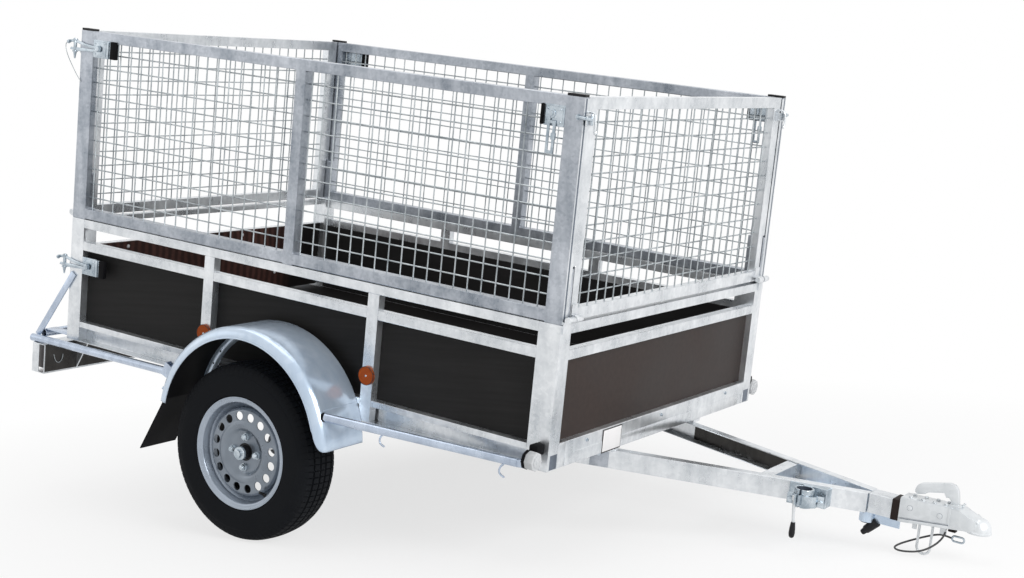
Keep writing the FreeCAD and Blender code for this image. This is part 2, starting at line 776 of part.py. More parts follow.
def guard_corner(y_low, y_high):
    """What is cut from the lip at the front: the outside of a quarter ellipse from its edge to the crown."""
    front = math.radians(guard_front_angle)
    start = front + math.radians(guard_corner_sweep)
    low = guard_lip_radius - guard_lip_drop
    line = [(0, guard_crown_radius), (0, low), (start, low)]
    for k in range(guard_corner_steps + 1):
        turn = math.pi / 2 * k / guard_corner_steps
        line.append((start - (start - front) * math.sin(turn),
                     guard_crown_radius - guard_lip_drop * math.cos(turn)))
    points = [guard_centre + V(radius * math.cos(a), y_low, radius * math.sin(a)) for a, radius in line]
    return prism(points, V(0, y_high - y_low, 0))


def make_mudguards():
    """Rolled steel mudguards with a turned-down outer lip, and rubber flaps behind the wheels."""
    y_in = -half_width - seat_gap
    y_out = y_in - guard_width
    crown = guard_crown_radius
    bend = guard_shoulder_radius
    thin = bend - guard_sheet
    shoulder = y_out + bend
    under = crown - guard_sheet
    crown_band = guard_band([(y_in, crown), (shoulder, crown), (shoulder, under), (y_in, under)],
                            guard_front_angle, guard_rear_angle)
    turns = [math.pi / 2 * k / guard_shoulder_steps for k in range(guard_shoulder_steps + 1)]
    outer = [(shoulder - bend * math.sin(a), crown - bend + bend * math.cos(a)) for a in turns]
    inner = [(shoulder - thin * math.sin(a), crown - bend + thin * math.cos(a)) for a in reversed(turns)]
    lip = outer + [(y_out, guard_lip_radius), (y_out + guard_sheet, guard_lip_radius)] + inner
    lip_band = guard_band(lip, guard_front_angle, guard_rear_angle)
    lip_band = lip_band.cut(guard_corner(y_out - overrun, shoulder))
    add_pair("mudguard", crown_band.fuse(lip_band).removeSplitter())
    flap_out = under - seat_gap
    flap_in = flap_out - flap_thickness
    y_flap = y_in - flap_inset
    flap_band = guard_band([(y_flap, flap_out), (shoulder, flap_out), (shoulder, flap_in),
                            (y_flap, flap_in)], flap_top_angle, guard_rear_angle)
    end_angle = math.radians(guard_rear_angle)
    end_way = V(math.cos(end_angle), 0, math.sin(end_angle))
    lean = math.radians(flap_tail_lean)
    tail = V(-math.sin(lean), 0, -math.cos(lean)) * flap_tail_length
    edge = guard_centre + V(0, y_flap, 0)
    section = [edge + end_way * flap_out, edge + end_way * flap_in]
    section += [section[1] + tail, section[0] + tail]
    flap = flap_band.fuse(prism(section, V(0, shoulder - y_flap, 0)))
    add("mudflaps", *both_sides(flap))


def bent_tube(points):
    """A round mudguard stay along a line of points, open at both ends and rounded at its bends."""
    solids = []
    for radius, extra in ((side_tube_radius, 0), (side_tube_radius - side_tube_wall, overrun)):
        line = list(points)
        line[0] = line[0] + (line[0] - line[1]).normalize() * extra
        line[-1] = line[-1] + (line[-1] - line[-2]).normalize() * extra
        runs = [rod(start, end, radius) for start, end in zip(line, line[1:])]
        bends = [Part.makeSphere(radius, bend) for bend in line[1:-1]]
        solids.append(runs[0].fuse(runs[1:] + bends))
    return solids[0].cut(solids[1])


def guard_point(angle):
    """The point on the mudguard's crown that a stay is aimed at."""
    turn = math.radians(angle)
    return guard_centre + V(guard_crown_radius * math.cos(turn), -stay_end_offset,
                            guard_crown_radius * math.sin(turn))


def clear_of_guard(solid, reach):
    """A solid with everything cut off that lies nearer to the mudguard's centre line than a reach."""
    y_in = -half_width
    y_out = y_in - guard_width
    return solid.cut(guard_band([(y_in, reach), (y_out, reach), (y_out, 0), (y_in, 0)], 0, 180))


def make_stays():
    """Round stays that hold the mudguards: from the light bar at the rear, from the sills in front."""
    seat = guard_crown_radius + seat_gap
    top = seat + stay_clip_reach
    start = V(rear_stay_start, -stay_offset, -rear_stay_start_drop)
    bend = V(rear_stay_bend, -stay_offset, -rear_stay_bend_drop)
    rear = clear_of_guard(bent_tube([start, bend, guard_point(rear_stay_angle)]), top + seat_gap)
    bend = V(bed_length - front_stay_bend_setback, -stay_offset, front_stay_bend_rise)
    rest = math.sqrt(side_tube_radius ** 2 - (front_stay_end_rise - sill_wall) ** 2)
    end = V(bed_length - front_stay_end_setback, -half_width - seat_gap - rest, front_stay_end_rise)
    front = clear_of_guard(bent_tube([guard_point(front_stay_angle), bend, end]), seat)
    add("side_tubes", *(both_sides(rear) + both_sides(front)))
    y_low = -stay_end_offset - stay_clip_width / 2
    y_high = y_low + stay_clip_width
    sheet = stay_clip_sheet
    clip = guard_band([(y_low, seat), (y_high, seat), (y_high, top), (y_low, top)],
                      rear_stay_angle - stay_clip_sweep, rear_stay_angle + stay_clip_sweep)
    hollow = guard_band([(y_low + sheet, seat + sheet), (y_high - sheet, seat + sheet),
                         (y_high - sheet, top - sheet), (y_low + sheet, top - sheet)],
                        rear_stay_angle - 2 * stay_clip_sweep, rear_stay_angle + 2 * stay_clip_sweep)
    add("stay_clips", *both_sides(clip.cut(hollow)))


def make_rear_bar():
    """Light bar, step tube, diagonal braces, brackets and lamps behind the body."""
    x_front = -light_bar_front
    x_rear = x_front - light_bar_depth
    fall = (rear_stay_start_drop - rear_stay_bend_drop) / (rear_stay_bend - rear_stay_start)
    z_axis = -rear_stay_start_drop + fall * (x_rear - rear_stay_start)
    z_top = z_axis - side_tube_radius * math.hypot(1, fall) - seat_gap / 2
    z_low = z_top - light_bar_height
    reach = half_width + light_bar_overhang
    bar = box(x_rear, x_front, -reach, reach, z_low, z_top)
    bar = bar.cut(box(x_rear - overrun, x_front - light_bar_wall, -reach - overrun, reach + overrun,
                      z_low + light_bar_wall, z_top - light_bar_wall))
    for side in (-1, 1):
        bar = bar.fuse(box(x_rear, x_rear + light_bar_end_length, side * reach,
                           side * (reach - light_bar_wall), z_low, z_top))
    add("light_bar", bar.removeSplitter())
    x_step = -step_tube_place
    z_step = -step_tube_drop
    add("step_tube", pipe(V(x_step, -half_width, z_step), V(x_step, half_width, z_step),
                          step_tube_radius, step_tube_wall))
    y_plate = half_width - rear_bracket_inset
    plate = prism([V(0, -y_plate, floor_base), V(0, -y_plate, 0), V(x_front, -y_plate, z_low),
                   V(x_front, -y_plate, z_top), V(x_step, -y_plate, z_top),
                   V(x_step, -y_plate, z_step)],
                  V(0, rear_bracket_thickness, 0))
    hole = rod(V(x_step, -half_width, z_step), V(x_step, half_width, z_step), step_tube_radius)
    add("rear_brackets", *both_sides(plate.cut(hole)))
    y_brace = -half_width - brace_thickness - seat_gap
    top = V(rear_post_length / 2, y_brace, body_height - brace_top_drop)
    foot = V(rear_stay_start + brace_width, y_brace, -rear_stay_start_drop)
    add("rear_braces", *both_sides(strip(top, foot, brace_width, V(0, brace_thickness, 0))))
    lamp_z = (z_low + z_top) / 2
    x_lamp = x_front - light_bar_wall
    y_lamp = -reach + lamp_inset
    lamp = box(x_lamp - lamp_depth, x_lamp, y_lamp, y_lamp + lamp_length,
               lamp_z - lamp_height / 2, lamp_z + lamp_height / 2)
    add("rear_lamps", *both_sides(lamp))


def arm_y(x):
    """Half the spread of the drawbar's outer faces at a place along the trailer."""
    return arm_spread_at_front - arm_slope * (x - bed_length)


def arm_layer(inset_out, inset_in, z_low, z_high):
    """A straight layer of the right drawbar arm between two insets from its outer face."""
    tilt = math.hypot(1, arm_slope)
    rear, front = arm_rear_place, head_place
    outline = [V(rear, -arm_y(rear) + inset_out * tilt, z_low),
               V(front, -arm_y(front) + inset_out * tilt, z_low),
               V(front, -arm_y(front) + inset_in * tilt, z_low),
               V(rear, -arm_y(rear) + inset_in * tilt, z_low)]
    return prism(outline, V(0, 0, z_high - z_low))


def make_drawbar():
    """Two C-channel arms open inwards, their brace, the box head and the saddles under the body."""
    top = -arm_top_drop
    low = top - arm_height
    arm = arm_layer(0, arm_wall, low, top)
    arm = arm.fuse([arm_layer(0, arm_flange, top - arm_wall, top),
                    arm_layer(0, arm_flange, low, low + arm_wall)])
    keep = box(0, head_place, -half_width, -seat_gap, low - overrun, top + overrun)
    add("drawbar_arms", *both_sides(arm.removeSplitter().common(keep)))
    half = head_width / 2
    add("drawbar_head", tube(head_place, head_place + head_length, -half, half, low, top,
                             head_wall, "x"))
    x_brace = head_place - drawbar_brace_setback
    inner = arm_y(x_brace + drawbar_brace_size) - arm_wall * math.hypot(1, arm_slope) - seat_gap
    z_brace = top - arm_wall
    add("drawbar_brace", box(x_brace, x_brace + drawbar_brace_size, -inner, inner,
                             z_brace - drawbar_brace_size, z_brace))
    for x_low, x_high in ((bed_length - saddle_length, bed_length - seat_gap),
                          (arm_rear_place, arm_rear_place + cross_member_width)):
        y_outer = arm_y(x_low)
        add("drawbar_saddles", *both_sides(box(x_low, x_high, -y_outer - saddle_overhang,
                                               -y_outer + arm_flange, top, 0)))


def make_coupling():
    """Pressed coupling body with its ball cup, and the lifting handle."""
    low = -coupling_drop
    top = coupling_top_rise
    half = coupling_width / 2
    neck = neck_width / 2
    x_neck = coupling_start + coupling_straight
    x_head = head_place + head_length + seat_gap
    ball = V(ball_place, 0, -ball_drop)
    down = V(0, 0, -1)
    body = box(coupling_start, x_neck, -half, half, low, top)
    cup_end = ball + down * cup_depth
    body = body.fuse([box(x_neck, ball_place, -neck, neck, cup_end.z, -neck_drop),
                      Part.makeSphere(dome_radius, ball), rod(ball, cup_end, dome_radius)])
    body = body.cut(box(ball_place - dome_radius, ball_place + dome_radius, -dome_radius, dome_radius,
                        cup_end.z, low - dome_radius))
    inner = head_width / 2 + seat_gap
    body = body.cut(box(coupling_start - overrun, x_head, -inner, inner, low - overrun,
                        -arm_top_drop + seat_gap))
    body = body.cut(Part.makeSphere(ball_radius + ball_gap, ball))
    body = body.cut(rod(ball, ball + down * dome_radius, ball_radius + ball_gap))
    add("coupling_body", body)
    z_seat = top + seat_gap
    x_pivot = coupling_start + handle_pivot_lead
    outline = [V(x_pivot + handle_reach * back, -handle_width / 2, z_seat + handle_rise * up)
               for back, up in handle_outline_shares]
    add("coupling_handle", prism(outline, V(0, handle_width, 0)))


def make_jockey_clamp():
    """The empty clamp for a jockey wheel on the right arm, with its lever."""
    top = -arm_top_drop
    low = top - arm_height
    x_rear = clamp_place - clamp_plate_length / 2
    y_back = -arm_y(x_rear) - seat_gap
    y_plate = y_back - clamp_plate_thickness
    y_bore = y_plate - clamp_bore_radius - clamp_wall / 2
    z_mid = (top + low) / 2
    plate = prism([V(x_rear, y_plate, low), V(x_rear + clamp_plate_length, y_plate, low),
                   V(x_rear + clamp_plate_length, y_back + arm_slope * clamp_plate_length, low),
                   V(x_rear, y_back, low)], V(0, 0, arm_height))
    base = V(clamp_place, y_bore, z_mid - clamp_height / 2)
    crown = V(clamp_place, y_bore, z_mid + clamp_height / 2)
    long_way = V(0, 0, overrun)
    half_split = clamp_gap / 2 + clamp_ear_thickness
    y_ear = y_bore - clamp_bore_radius - clamp_ear_reach
    ears = box(clamp_place - half_split, clamp_place + half_split, y_ear, y_bore - clamp_bore_radius,
               z_mid - clamp_ear_height / 2, z_mid + clamp_ear_height / 2)
    body = plate.fuse([rod(base, crown, clamp_bore_radius + clamp_wall), ears])
    body = body.cut(rod(base - long_way, crown + long_way, clamp_bore_radius))
    body = body.cut(box(clamp_place - clamp_gap / 2, clamp_place + clamp_gap / 2, y_ear - overrun, y_bore,
                        low - overrun, top + overrun))
    add("jockey_clamp", body)
    x_lever = clamp_place - half_split - seat_gap
    y_lever = y_ear + lever_hub_radius
    hub = rod(V(x_lever, y_lever, z_mid), V(x_lever - lever_hub_length, y_lever, z_mid), lever_hub_radius)
    head = V(x_lever - lever_hub_length / 2, y_lever, z_mid)
    foot = head - V(0, 0, lever_length)
    grip = rod(foot, foot + V(0, 0, lever_grip_length), lever_grip_radius)
    add("clamp_lever", hub.fuse([rod(head, foot, lever_radius), grip]))


def snap_hook(rear_centre):
    """A closed wire hook with round ends, lying along X."""
    straight = V(hook_length - 2 * (hook_bend_radius + hook_rod_radius), 0, 0)
    front_centre = rear_centre + straight
    up = V(0, 0, hook_bend_radius)
    size = hook_bend_radius + 2 * hook_rod_radius
    rear = Part.makeTorus(hook_bend_radius, hook_rod_radius, rear_centre, V(0, 1, 0))
    front = Part.makeTorus(hook_bend_radius, hook_rod_radius, front_centre, V(0, 1, 0))
    rear = rear.cut(box(rear_centre.x, rear_centre.x + size, -size, size, rear_centre.z - size,
                        rear_centre.z + size))
    front = front.cut(box(front_centre.x - size, front_centre.x, -size, size, front_centre.z - size,
                          front_centre.z + size))
    return rear.fuse([front, rod(rear_centre + up, front_centre + up, hook_rod_radius),
                      rod(rear_centre - up, front_centre - up, hook_rod_radius)])


def make_fittings():
    """Plug holder and plug, the wire foot, and the safety cable with its hook."""
    low = -arm_top_drop - arm_height
    z_top = low - seat_gap
    z_low = z_top - plug_ring_height
    x_ring = head_place - plug_ring_setback
    centre_top, centre_low = V(x_ring, 0, z_top), V(x_ring, 0, z_low)
    long_way = V(0, 0, overrun)
    inner = plug_ring_radius - plug_ring_wall
    bar = box(x_ring, coupling_start + plug_bar_lead, -plug_ring_wall / 2, plug_ring_wall / 2, z_low, z_top)
    holder = rod(centre_low, centre_top, plug_ring_radius).fuse(bar)
    add("plug_holder", holder.cut(rod(centre_low - long_way, centre_top + long_way, inner)))
    plug_top = centre_top - V(0, 0, seat_gap)
    add("plug", rod(plug_top, plug_top - V(0, 0, plug_length), inner - seat_gap))
    bend = foot_leg_spacing / 2
    centre = V(foot_centre_place, 0, -foot_centre_drop)
    ring = Part.makeTorus(bend, foot_rod_radius, centre, V(0, 1, 0))
    lower = box(centre.x - 2 * bend, centre.x + 2 * bend, -bend, bend, centre.z - 2 * bend, centre.z)
    foot = ring.common(lower)
    for side in (-1, 1):
        leg = centre + V(side * bend, 0, 0)
        foot = foot.fuse(rod(leg, V(leg.x, 0, -coupling_drop - seat_gap), foot_rod_radius))
    add("wire_foot", foot)
    route = [V(coupling_start + x, y, z) for x, y, z in cable_route]
    add("safety_cable", cord(route, cable_radius))
    add("cable_hook", snap_hook(route[-1] + V(hook_bend_radius + hook_rod_radius + seat_gap, 0, 0)))


def make_lamps():
    """Orange side reflectors, and the white front marker lamps on rubber arms."""
    for middle in upright_places:
        foot = V(middle, -half_width - seat_gap, reflector_height)
        add("side_reflectors", *both_sides(rod(foot, foot - V(0, reflector_thickness, 0), reflector_radius)))
    x = bed_length - marker_arm_inset
    y = -half_width - seat_gap
    half = marker_arm_size / 2
    add("marker_arms", *both_sides(box(x - half, x + half, y - marker_arm_length, y,
                                       marker_height - half, marker_height + half)))
    y_lamp = y - marker_arm_length - seat_gap - marker_radius
    outline = []
    for k in range(marker_sides):
        angle = 2 * math.pi * (k + 1 / 2) / marker_sides
        outline.append(V(x - marker_depth / 2, y_lamp + marker_radius * math.cos(angle),
                         marker_height + marker_radius * math.sin(angle)))
    flat = marker_radius * (1 - math.cos(math.pi / marker_sides))
    outline = [point + V(0, flat, 0) for point in outline]
    add("marker_lamps", *both_sides(prism(outline, V(marker_depth, 0, 0))))


def parking_pitch():
    """The nose-down angle at which the tyres and the bow of the wire foot share one floor."""
    reach_x = foot_centre_place - wheel_place
    reach_z = wheel_height + foot_centre_drop
    foot_size = foot_leg_spacing / 2 + foot_rod_radius
    lift = math.asin((tyre_radius - foot_size) / math.hypot(reach_x, reach_z))
    return lift - math.atan2(reach_z, reach_x)


def park_and_export():
    """Pitch all solids to the floor, centre them, and write one file per node."""
    pitch = parking_pitch()
    shapes = {}
    for node, solids in pieces.items():
        flat = [part for solid in solids for part in solid.Solids]
        shape = flat[0] if len(flat) == 1 else Part.makeCompound(flat)
        shape.rotate(V(0, 0, 0), V(0, 1, 0), math.degrees(pitch))
        shapes[node] = shape
    whole = Part.makeCompound(list(shapes.values())).BoundBox
    wheel = FreeCAD.Rotation(V(0, 1, 0), math.degrees(pitch)).multVec(V(wheel_place, 0, wheel_height))
    shift = V(-(whole.XMin + whole.XMax) / 2, 0, tyre_radius - wheel.z)
    os.makedirs("parts", exist_ok=True)
    for node, shape in shapes.items():
        shape.translate(shift)
        shape.exportStep("parts/" + node + ".step")
    return pitch, shift


make_chassis()
make_body_walls()
make_tailgate()
make_cage_sides()
make_gate("rear", 0, -1)
make_gate("front", bed_length, 1)
make_hinges_and_latches()
make_wheels()
make_axle()
make_mudguards()
make_stays()
make_rear_bar()
make_drawbar()
make_coupling()
make_jockey_clamp()
make_fittings()
make_lamps()
parked_pitch, parked_shift = park_and_export()
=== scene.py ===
"""Utility trailer with a welded-mesh cage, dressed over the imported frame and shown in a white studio.

New pieces are measured in millimetres in the level trailer frame: +X forward, +Y left, +Z up, x = 0 at
the rear face of the corner posts, z = 0 at the underside of the sills. One matrix, worked out from the
pins of the two cage gates, takes them to the parked trailer.
"""
import bpy
import bmesh
import json
import math
from mathutils import Matrix, Vector


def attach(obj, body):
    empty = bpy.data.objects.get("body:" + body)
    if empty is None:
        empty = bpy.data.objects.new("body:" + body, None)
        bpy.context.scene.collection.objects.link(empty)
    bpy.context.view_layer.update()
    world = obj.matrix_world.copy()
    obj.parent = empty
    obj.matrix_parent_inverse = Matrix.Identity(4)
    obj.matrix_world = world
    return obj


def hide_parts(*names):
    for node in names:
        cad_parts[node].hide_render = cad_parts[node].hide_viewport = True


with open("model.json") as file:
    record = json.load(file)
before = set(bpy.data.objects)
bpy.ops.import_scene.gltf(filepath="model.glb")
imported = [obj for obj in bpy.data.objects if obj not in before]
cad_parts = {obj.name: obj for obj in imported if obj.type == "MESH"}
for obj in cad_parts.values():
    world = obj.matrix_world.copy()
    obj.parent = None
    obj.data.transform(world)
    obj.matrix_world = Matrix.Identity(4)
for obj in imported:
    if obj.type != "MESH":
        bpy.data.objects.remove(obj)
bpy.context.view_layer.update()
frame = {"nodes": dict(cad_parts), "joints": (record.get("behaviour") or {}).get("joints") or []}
scene = bpy.context.scene

# a millimetre in metres
mm = 0.001
# the rear gate's hinge pin, (place, height), and the main sizes repeated from the part
rear_gate_pin = (-15.0, 453.0)
bed_length = 2026.0
half_width = 685.0
seat = 0.2
# inner and outer end of a rear lamp, in metres from the trailer's middle
lamp_span = (0.478, 0.693)
both_sides = ((-1, "right"), (1, "left"))

X, Y, Z = Vector((1, 0, 0)), Vector((0, 1, 0)), Vector((0, 0, 1))


def find_level():
    """The matrix that takes level millimetres to the parked trailer in metres."""
    pins = {joint["name"]: Vector(joint["pos_m"]) for joint in frame["joints"]}
    rear, front = pins["gate_rear_hinge"], pins["gate_front_hinge"]
    forward = (front - rear).normalized()
    up = forward.cross(Y)
    origin = rear - forward * rear_gate_pin[0] * mm - up * rear_gate_pin[1] * mm
    turn = Matrix((forward, Y, up)).transposed().to_4x4()
    return Matrix.Translation(origin) @ turn @ Matrix.Scale(mm, 4)


level = find_level()


# camera
lens_length = 57.4
camera_place = (4348.8, -4629.5, 1350.0)
camera_right = Vector((0.8311, 0.5476, 0.0967))
camera_forward = Vector((-0.5272, 0.8312, -0.1765))


def place_camera():
    """The camera at the photograph's place, turned as it was held."""
    camera = bpy.data.objects.new("camera", bpy.data.cameras.new("camera"))
    scene.collection.objects.link(camera)
    turn = level.to_3x3().normalized()
    forward = (turn @ camera_forward).normalized()
    right = turn @ camera_right
    right = (right - forward * right.dot(forward)).normalized()
    up = right.cross(forward)
    axes = Matrix((right, up, -forward)).transposed().to_4x4()
    camera.matrix_world = Matrix.Translation(level @ Vector(camera_place)) @ axes
    camera.data.lens = lens_length
    camera.data.sensor_width = 36.0
    camera.data.clip_end = 200.0
    scene.camera = camera


place_camera()


# node groups and materials
def feed(tree, node, inputs):
    """Set a node's inputs, or link them where the value is another node's output."""
    for name, value in inputs.items():
        if isinstance(value, bpy.types.NodeSocket):
            tree.links.new(value, node.inputs[name])
        else:
            node.inputs[name].default_value = value


def add_node(tree, kind, inputs=None, **properties):
    """A shader node with its properties set and its inputs set or linked."""
    node = tree.nodes.new("ShaderNode" + kind)
    for name, value in properties.items():
        setattr(node, name, value)
    feed(tree, node, inputs or {})
    return node


def ramp(tree, source, stops):
    """A colour ramp fed by a socket; stops are (place, grey value) or (place, colour)."""
    node = add_node(tree, "ValToRGB", {"Fac": source})
    while len(node.color_ramp.elements) < len(stops):
        node.color_ramp.elements.new(0.5)
    for element, (place, shade) in zip(node.color_ramp.elements, stops):
        element.position = place
        element.color = (*shade, 1) if isinstance(shade, tuple) else (shade, shade, shade, 1)
    return node.outputs["Color"]


def blend_colours(tree, factor, first, second, kind="MIX"):
    """Two colours mixed by a factor."""
    first, second = [(*value, 1) if isinstance(value, tuple) else value for value in (first, second)]
    node = add_node(tree, "Mix", data_type="RGBA", blend_type=kind)
    feed(tree, node, {"Factor": factor, "A": first, "B": second})
    return node.outputs["Result"]


def start_group(name, sizes, colours, numbers):
    """An empty node group fed by a vector and named sizes, giving named colours and numbers."""
    group = bpy.data.node_groups.new(name, "ShaderNodeTree")
    sockets = [("Vector", "INPUT", "Vector")] + [(label, "INPUT", "Float") for label in sizes]
    sockets += [(label, "OUTPUT", "Color") for label in colours]
    sockets += [(label, "OUTPUT", "Float") for label in numbers]
    for label, way, kind in sockets:
        group.interface.new_socket(label, in_out=way, socket_type="NodeSocket" + kind)
    return group, group.nodes.new("NodeGroupInput"), group.nodes.new("NodeGroupOutput")


def make_zinc_skin_group():
    """Hot-dip zinc: crystal spangle, runs down the sheet and dull clouds."""
    group, enter, leave = start_group("zinc skin", ("Spangle Size", "Cloud Size"), ("Tone", "Dullness"),
                                      ("Relief",))
    place = enter.outputs["Vector"]
    crystals = add_node(group, "TexVoronoi", {"Vector": place, "Scale": enter.outputs["Spangle Size"]})
    stretch = add_node(group, "Mapping", {"Vector": place, "Scale": (34, 34, 4)})
    runs = add_node(group, "TexNoise", {"Vector": stretch.outputs["Vector"], "Scale": 1.0, "Detail": 4.0})
    clouds = add_node(group, "TexNoise", {"Vector": place, "Scale": enter.outputs["Cloud Size"],
                                          "Detail": 6.0, "Roughness": 0.62})
    crystal = add_node(group, "SeparateColor", {"Color": crystals.outputs["Color"]})
    crystal_tone = ramp(group, crystal.outputs["Red"], ((0.0, 0.42), (1.0, 0.58)))
    cloud_tone = ramp(group, clouds.outputs["Fac"], ((0.34, 0.34), (0.66, 0.66)))
    run_tone = ramp(group, runs.outputs["Fac"], ((0.35, 0.42), (0.68, 0.60)))
    tone = blend_colours(group, 0.62, crystal_tone, cloud_tone)
    feed(group, leave, {"Tone": blend_colours(group, 0.32, tone, run_tone),
                        "Dullness": blend_colours(group, 0.5, cloud_tone, run_tone),
                        "Relief": runs.outputs["Fac"]})
    return group


def make_mottle_group():
    """Clouds and a fine grain, for paint, rubber and plastic."""
    group, enter, leave = start_group("mottle", ("Cloud Size", "Grain Size"), (), ("Clouds", "Grain"))
    for label, size, detail in (("Clouds", "Cloud Size", 5.0), ("Grain", "Grain Size", 2.0)):
        noise = add_node(group, "TexNoise", {"Vector": enter.outputs["Vector"],
                                             "Scale": enter.outputs[size], "Detail": detail})
        feed(group, leave, {label: noise.outputs["Fac"]})
    return group


zinc_skin = make_zinc_skin_group()
mottle = make_mottle_group()


def start_material(name):
    """A material, its node tree, its principled shader and its object coordinates."""
    material = bpy.data.materials.new(name)
    material.use_nodes = True
    tree = material.node_tree
    return material, tree, tree.nodes["Principled BSDF"], add_node(tree, "TexCoord").outputs["Object"]


def bump(tree, height, strength, distance):
    """A bump from a height socket."""
    inputs = {"Height": height, "Strength": strength, "Distance": distance}
    return add_node(tree, "Bump", inputs).outputs["Normal"]


def mottle_outputs(tree, place, cloud, grain):
    """The clouds and the grain of the mottle group at given sizes."""
    inputs = {"Vector": place, "Cloud Size": cloud, "Grain Size": grain}
    return add_node(tree, "Group", inputs, node_tree=mottle).outputs


def stripes(tree, place, direction, scale, distortion, detail=2.0):
    """Straight bands across one direction."""
    inputs = {"Vector": place, "Scale": scale, "Distortion": distortion, "Detail": detail}
    return add_node(tree, "TexWave", inputs, bands_direction=direction).outputs["Fac"]


def share_across(tree, across, low, high):
    """Where a value lies between two bounds, as a share."""
    inputs = {"Value": across, "From Min": low, "From Max": high}
    return add_node(tree, "MapRange", inputs).outputs["Result"]


def zinc_material(name, dark, light, roughness, spangle=90.0, cloud=7.0, metallic=0.85):
    """Galvanised or zinc-plated steel between a dark and a light tone."""
    material, tree, shader, place = start_material(name)
    inputs = {"Vector": place, "Spangle Size": spangle, "Cloud Size": cloud}
    skin = add_node(tree, "Group", inputs, node_tree=zinc_skin).outputs
    tone = add_node(tree, "SeparateColor", {"Color": skin["Tone"]})
    feed(tree, shader, {
        "Base Color": ramp(tree, tone.outputs["Red"], ((0.40, dark), (0.60, light))),
        "Roughness": ramp(tree, skin["Dullness"], tuple(zip((0.36, 0.64), roughness))),
        "Normal": bump(tree, skin["Relief"], 0.12, 0.001), "Metallic": metallic})
    return material


def mottled_material(name, dark, light, roughness, grain_depth, cloud=9.0, grain=420.0, metallic=0.0,
                     specular=0.5, coat=0.0):
    """Paint, rubber or plastic with cloudy colour and a fine grain."""
    material, tree, shader, place = start_material(name)
    noise = mottle_outputs(tree, place, cloud, grain)
    feed(tree, shader, {
        "Base Color": ramp(tree, noise["Clouds"], ((0.3, dark), (0.7, light))),
        "Roughness": ramp(tree, noise["Clouds"], tuple(zip((0.3, 0.7), roughness))),
        "Normal": bump(tree, noise["Grain"], 0.25, grain_depth), "Metallic": metallic,
        "Specular IOR Level": specular, "Coat Weight": coat})
    return material


def lens_material(name, dark, light, rib_count, specular=0.4):
    """Moulded lamp plastic with fine ribs."""
    material, tree, shader, place = start_material(name)
    ribs = stripes(tree, place, "Z", rib_count, 0.4)
    feed(tree, shader, {
        "Base Color": ramp(tree, ribs, ((0.1, dark), (0.9, light))),
        "Normal": bump(tree, ribs, 0.4, 0.0008), "Roughness": 0.34, "Specular IOR Level": specular})
    return material


def lamp_material():
    """Rear lamp plastic in fields across the trailer: orange with a dark end outside, red, white inside."""
    material, tree, shader, place = start_material("rear lamp plastic")
    across = add_node(tree, "SeparateXYZ", {"Vector": place}).outputs["Y"]
    width = add_node(tree, "Math", {0: across}, operation="ABSOLUTE").outputs["Value"]
    ribs = stripes(tree, place, "Z", 90.0, 0.3)
    fields = ramp(tree, share_across(tree, width, *lamp_span), (
        (0.0, (0.60, 0.60, 0.61)), (0.26, (0.30, 0.012, 0.010)), (0.66, (0.42, 0.10, 0.015)),
        (0.93, (0.03, 0.008, 0.007))))
    fields.node.color_ramp.interpolation = "CONSTANT"
    shade = ramp(tree, ribs, ((0.1, 0.72), (0.9, 1.0)))
    feed(tree, shader, {
        "Base Color": blend_colours(tree, 1.0, fields, shade, "MULTIPLY"),
        "Normal": bump(tree, ribs, 0.4, 0.0008), "Roughness": 0.18, "Coat Weight": 0.5})
    return material


def film_board_material(name, dark, light, roughness, specular, painted_shade_end=None):
    """Film-faced plywood: smooth resin film with faint wire marks and clouds.

    With an end given, the board gets painted light and shade: upright stripes of painted shadow from the cage
    mesh, lighter between, and painted shade that turns it almost black towards the left side.
    """
    material, tree, shader, place = start_material(name)
    noise = mottle_outputs(tree, place, 3.2, 260.0)
    stretch = add_node(tree, "Mapping", {"Vector": place, "Scale": (2.0, 40.0, 40.0)})
    veins = add_node(tree, "TexNoise", {"Vector": stretch.outputs["Vector"], "Scale": 1.6, "Detail": 4.0})
    mask = ramp(tree, veins.outputs["Fac"], ((0.35, 0.0), (0.7, 0.7)))
    cloud_mask = ramp(tree, noise["Clouds"], ((0.3, 0.0), (0.75, 1.0)))
    colour = blend_colours(tree, blend_colours(tree, 0.4, cloud_mask, mask), dark, light)
    if painted_shade_end:
        # painted shadow of the cage mesh: upright stripes darker and lighter than the film
        mesh_shadow_stripes = ramp(tree, stripes(tree, place, "Y", 9.0, 2.4, detail=1.0), ((0.2, 0.55), (0.8, 1.25)))
        colour = blend_colours(tree, 1.0, colour, mesh_shadow_stripes, "MULTIPLY")
        # painted shade: the board turns almost black towards its left end
        across = add_node(tree, "SeparateXYZ", {"Vector": place}).outputs["Y"]
        colour = blend_colours(tree, share_across(tree, across, *painted_shade_end), colour, (0.006, 0.005, 0.005))
    feed(tree, shader, {
        "Base Color": colour, "Roughness": ramp(tree, noise["Clouds"], tuple(zip((0.3, 0.7), roughness))),
        "Normal": bump(tree, noise["Grain"], 0.2, 0.0006), "Specular IOR Level": specular})
    return material


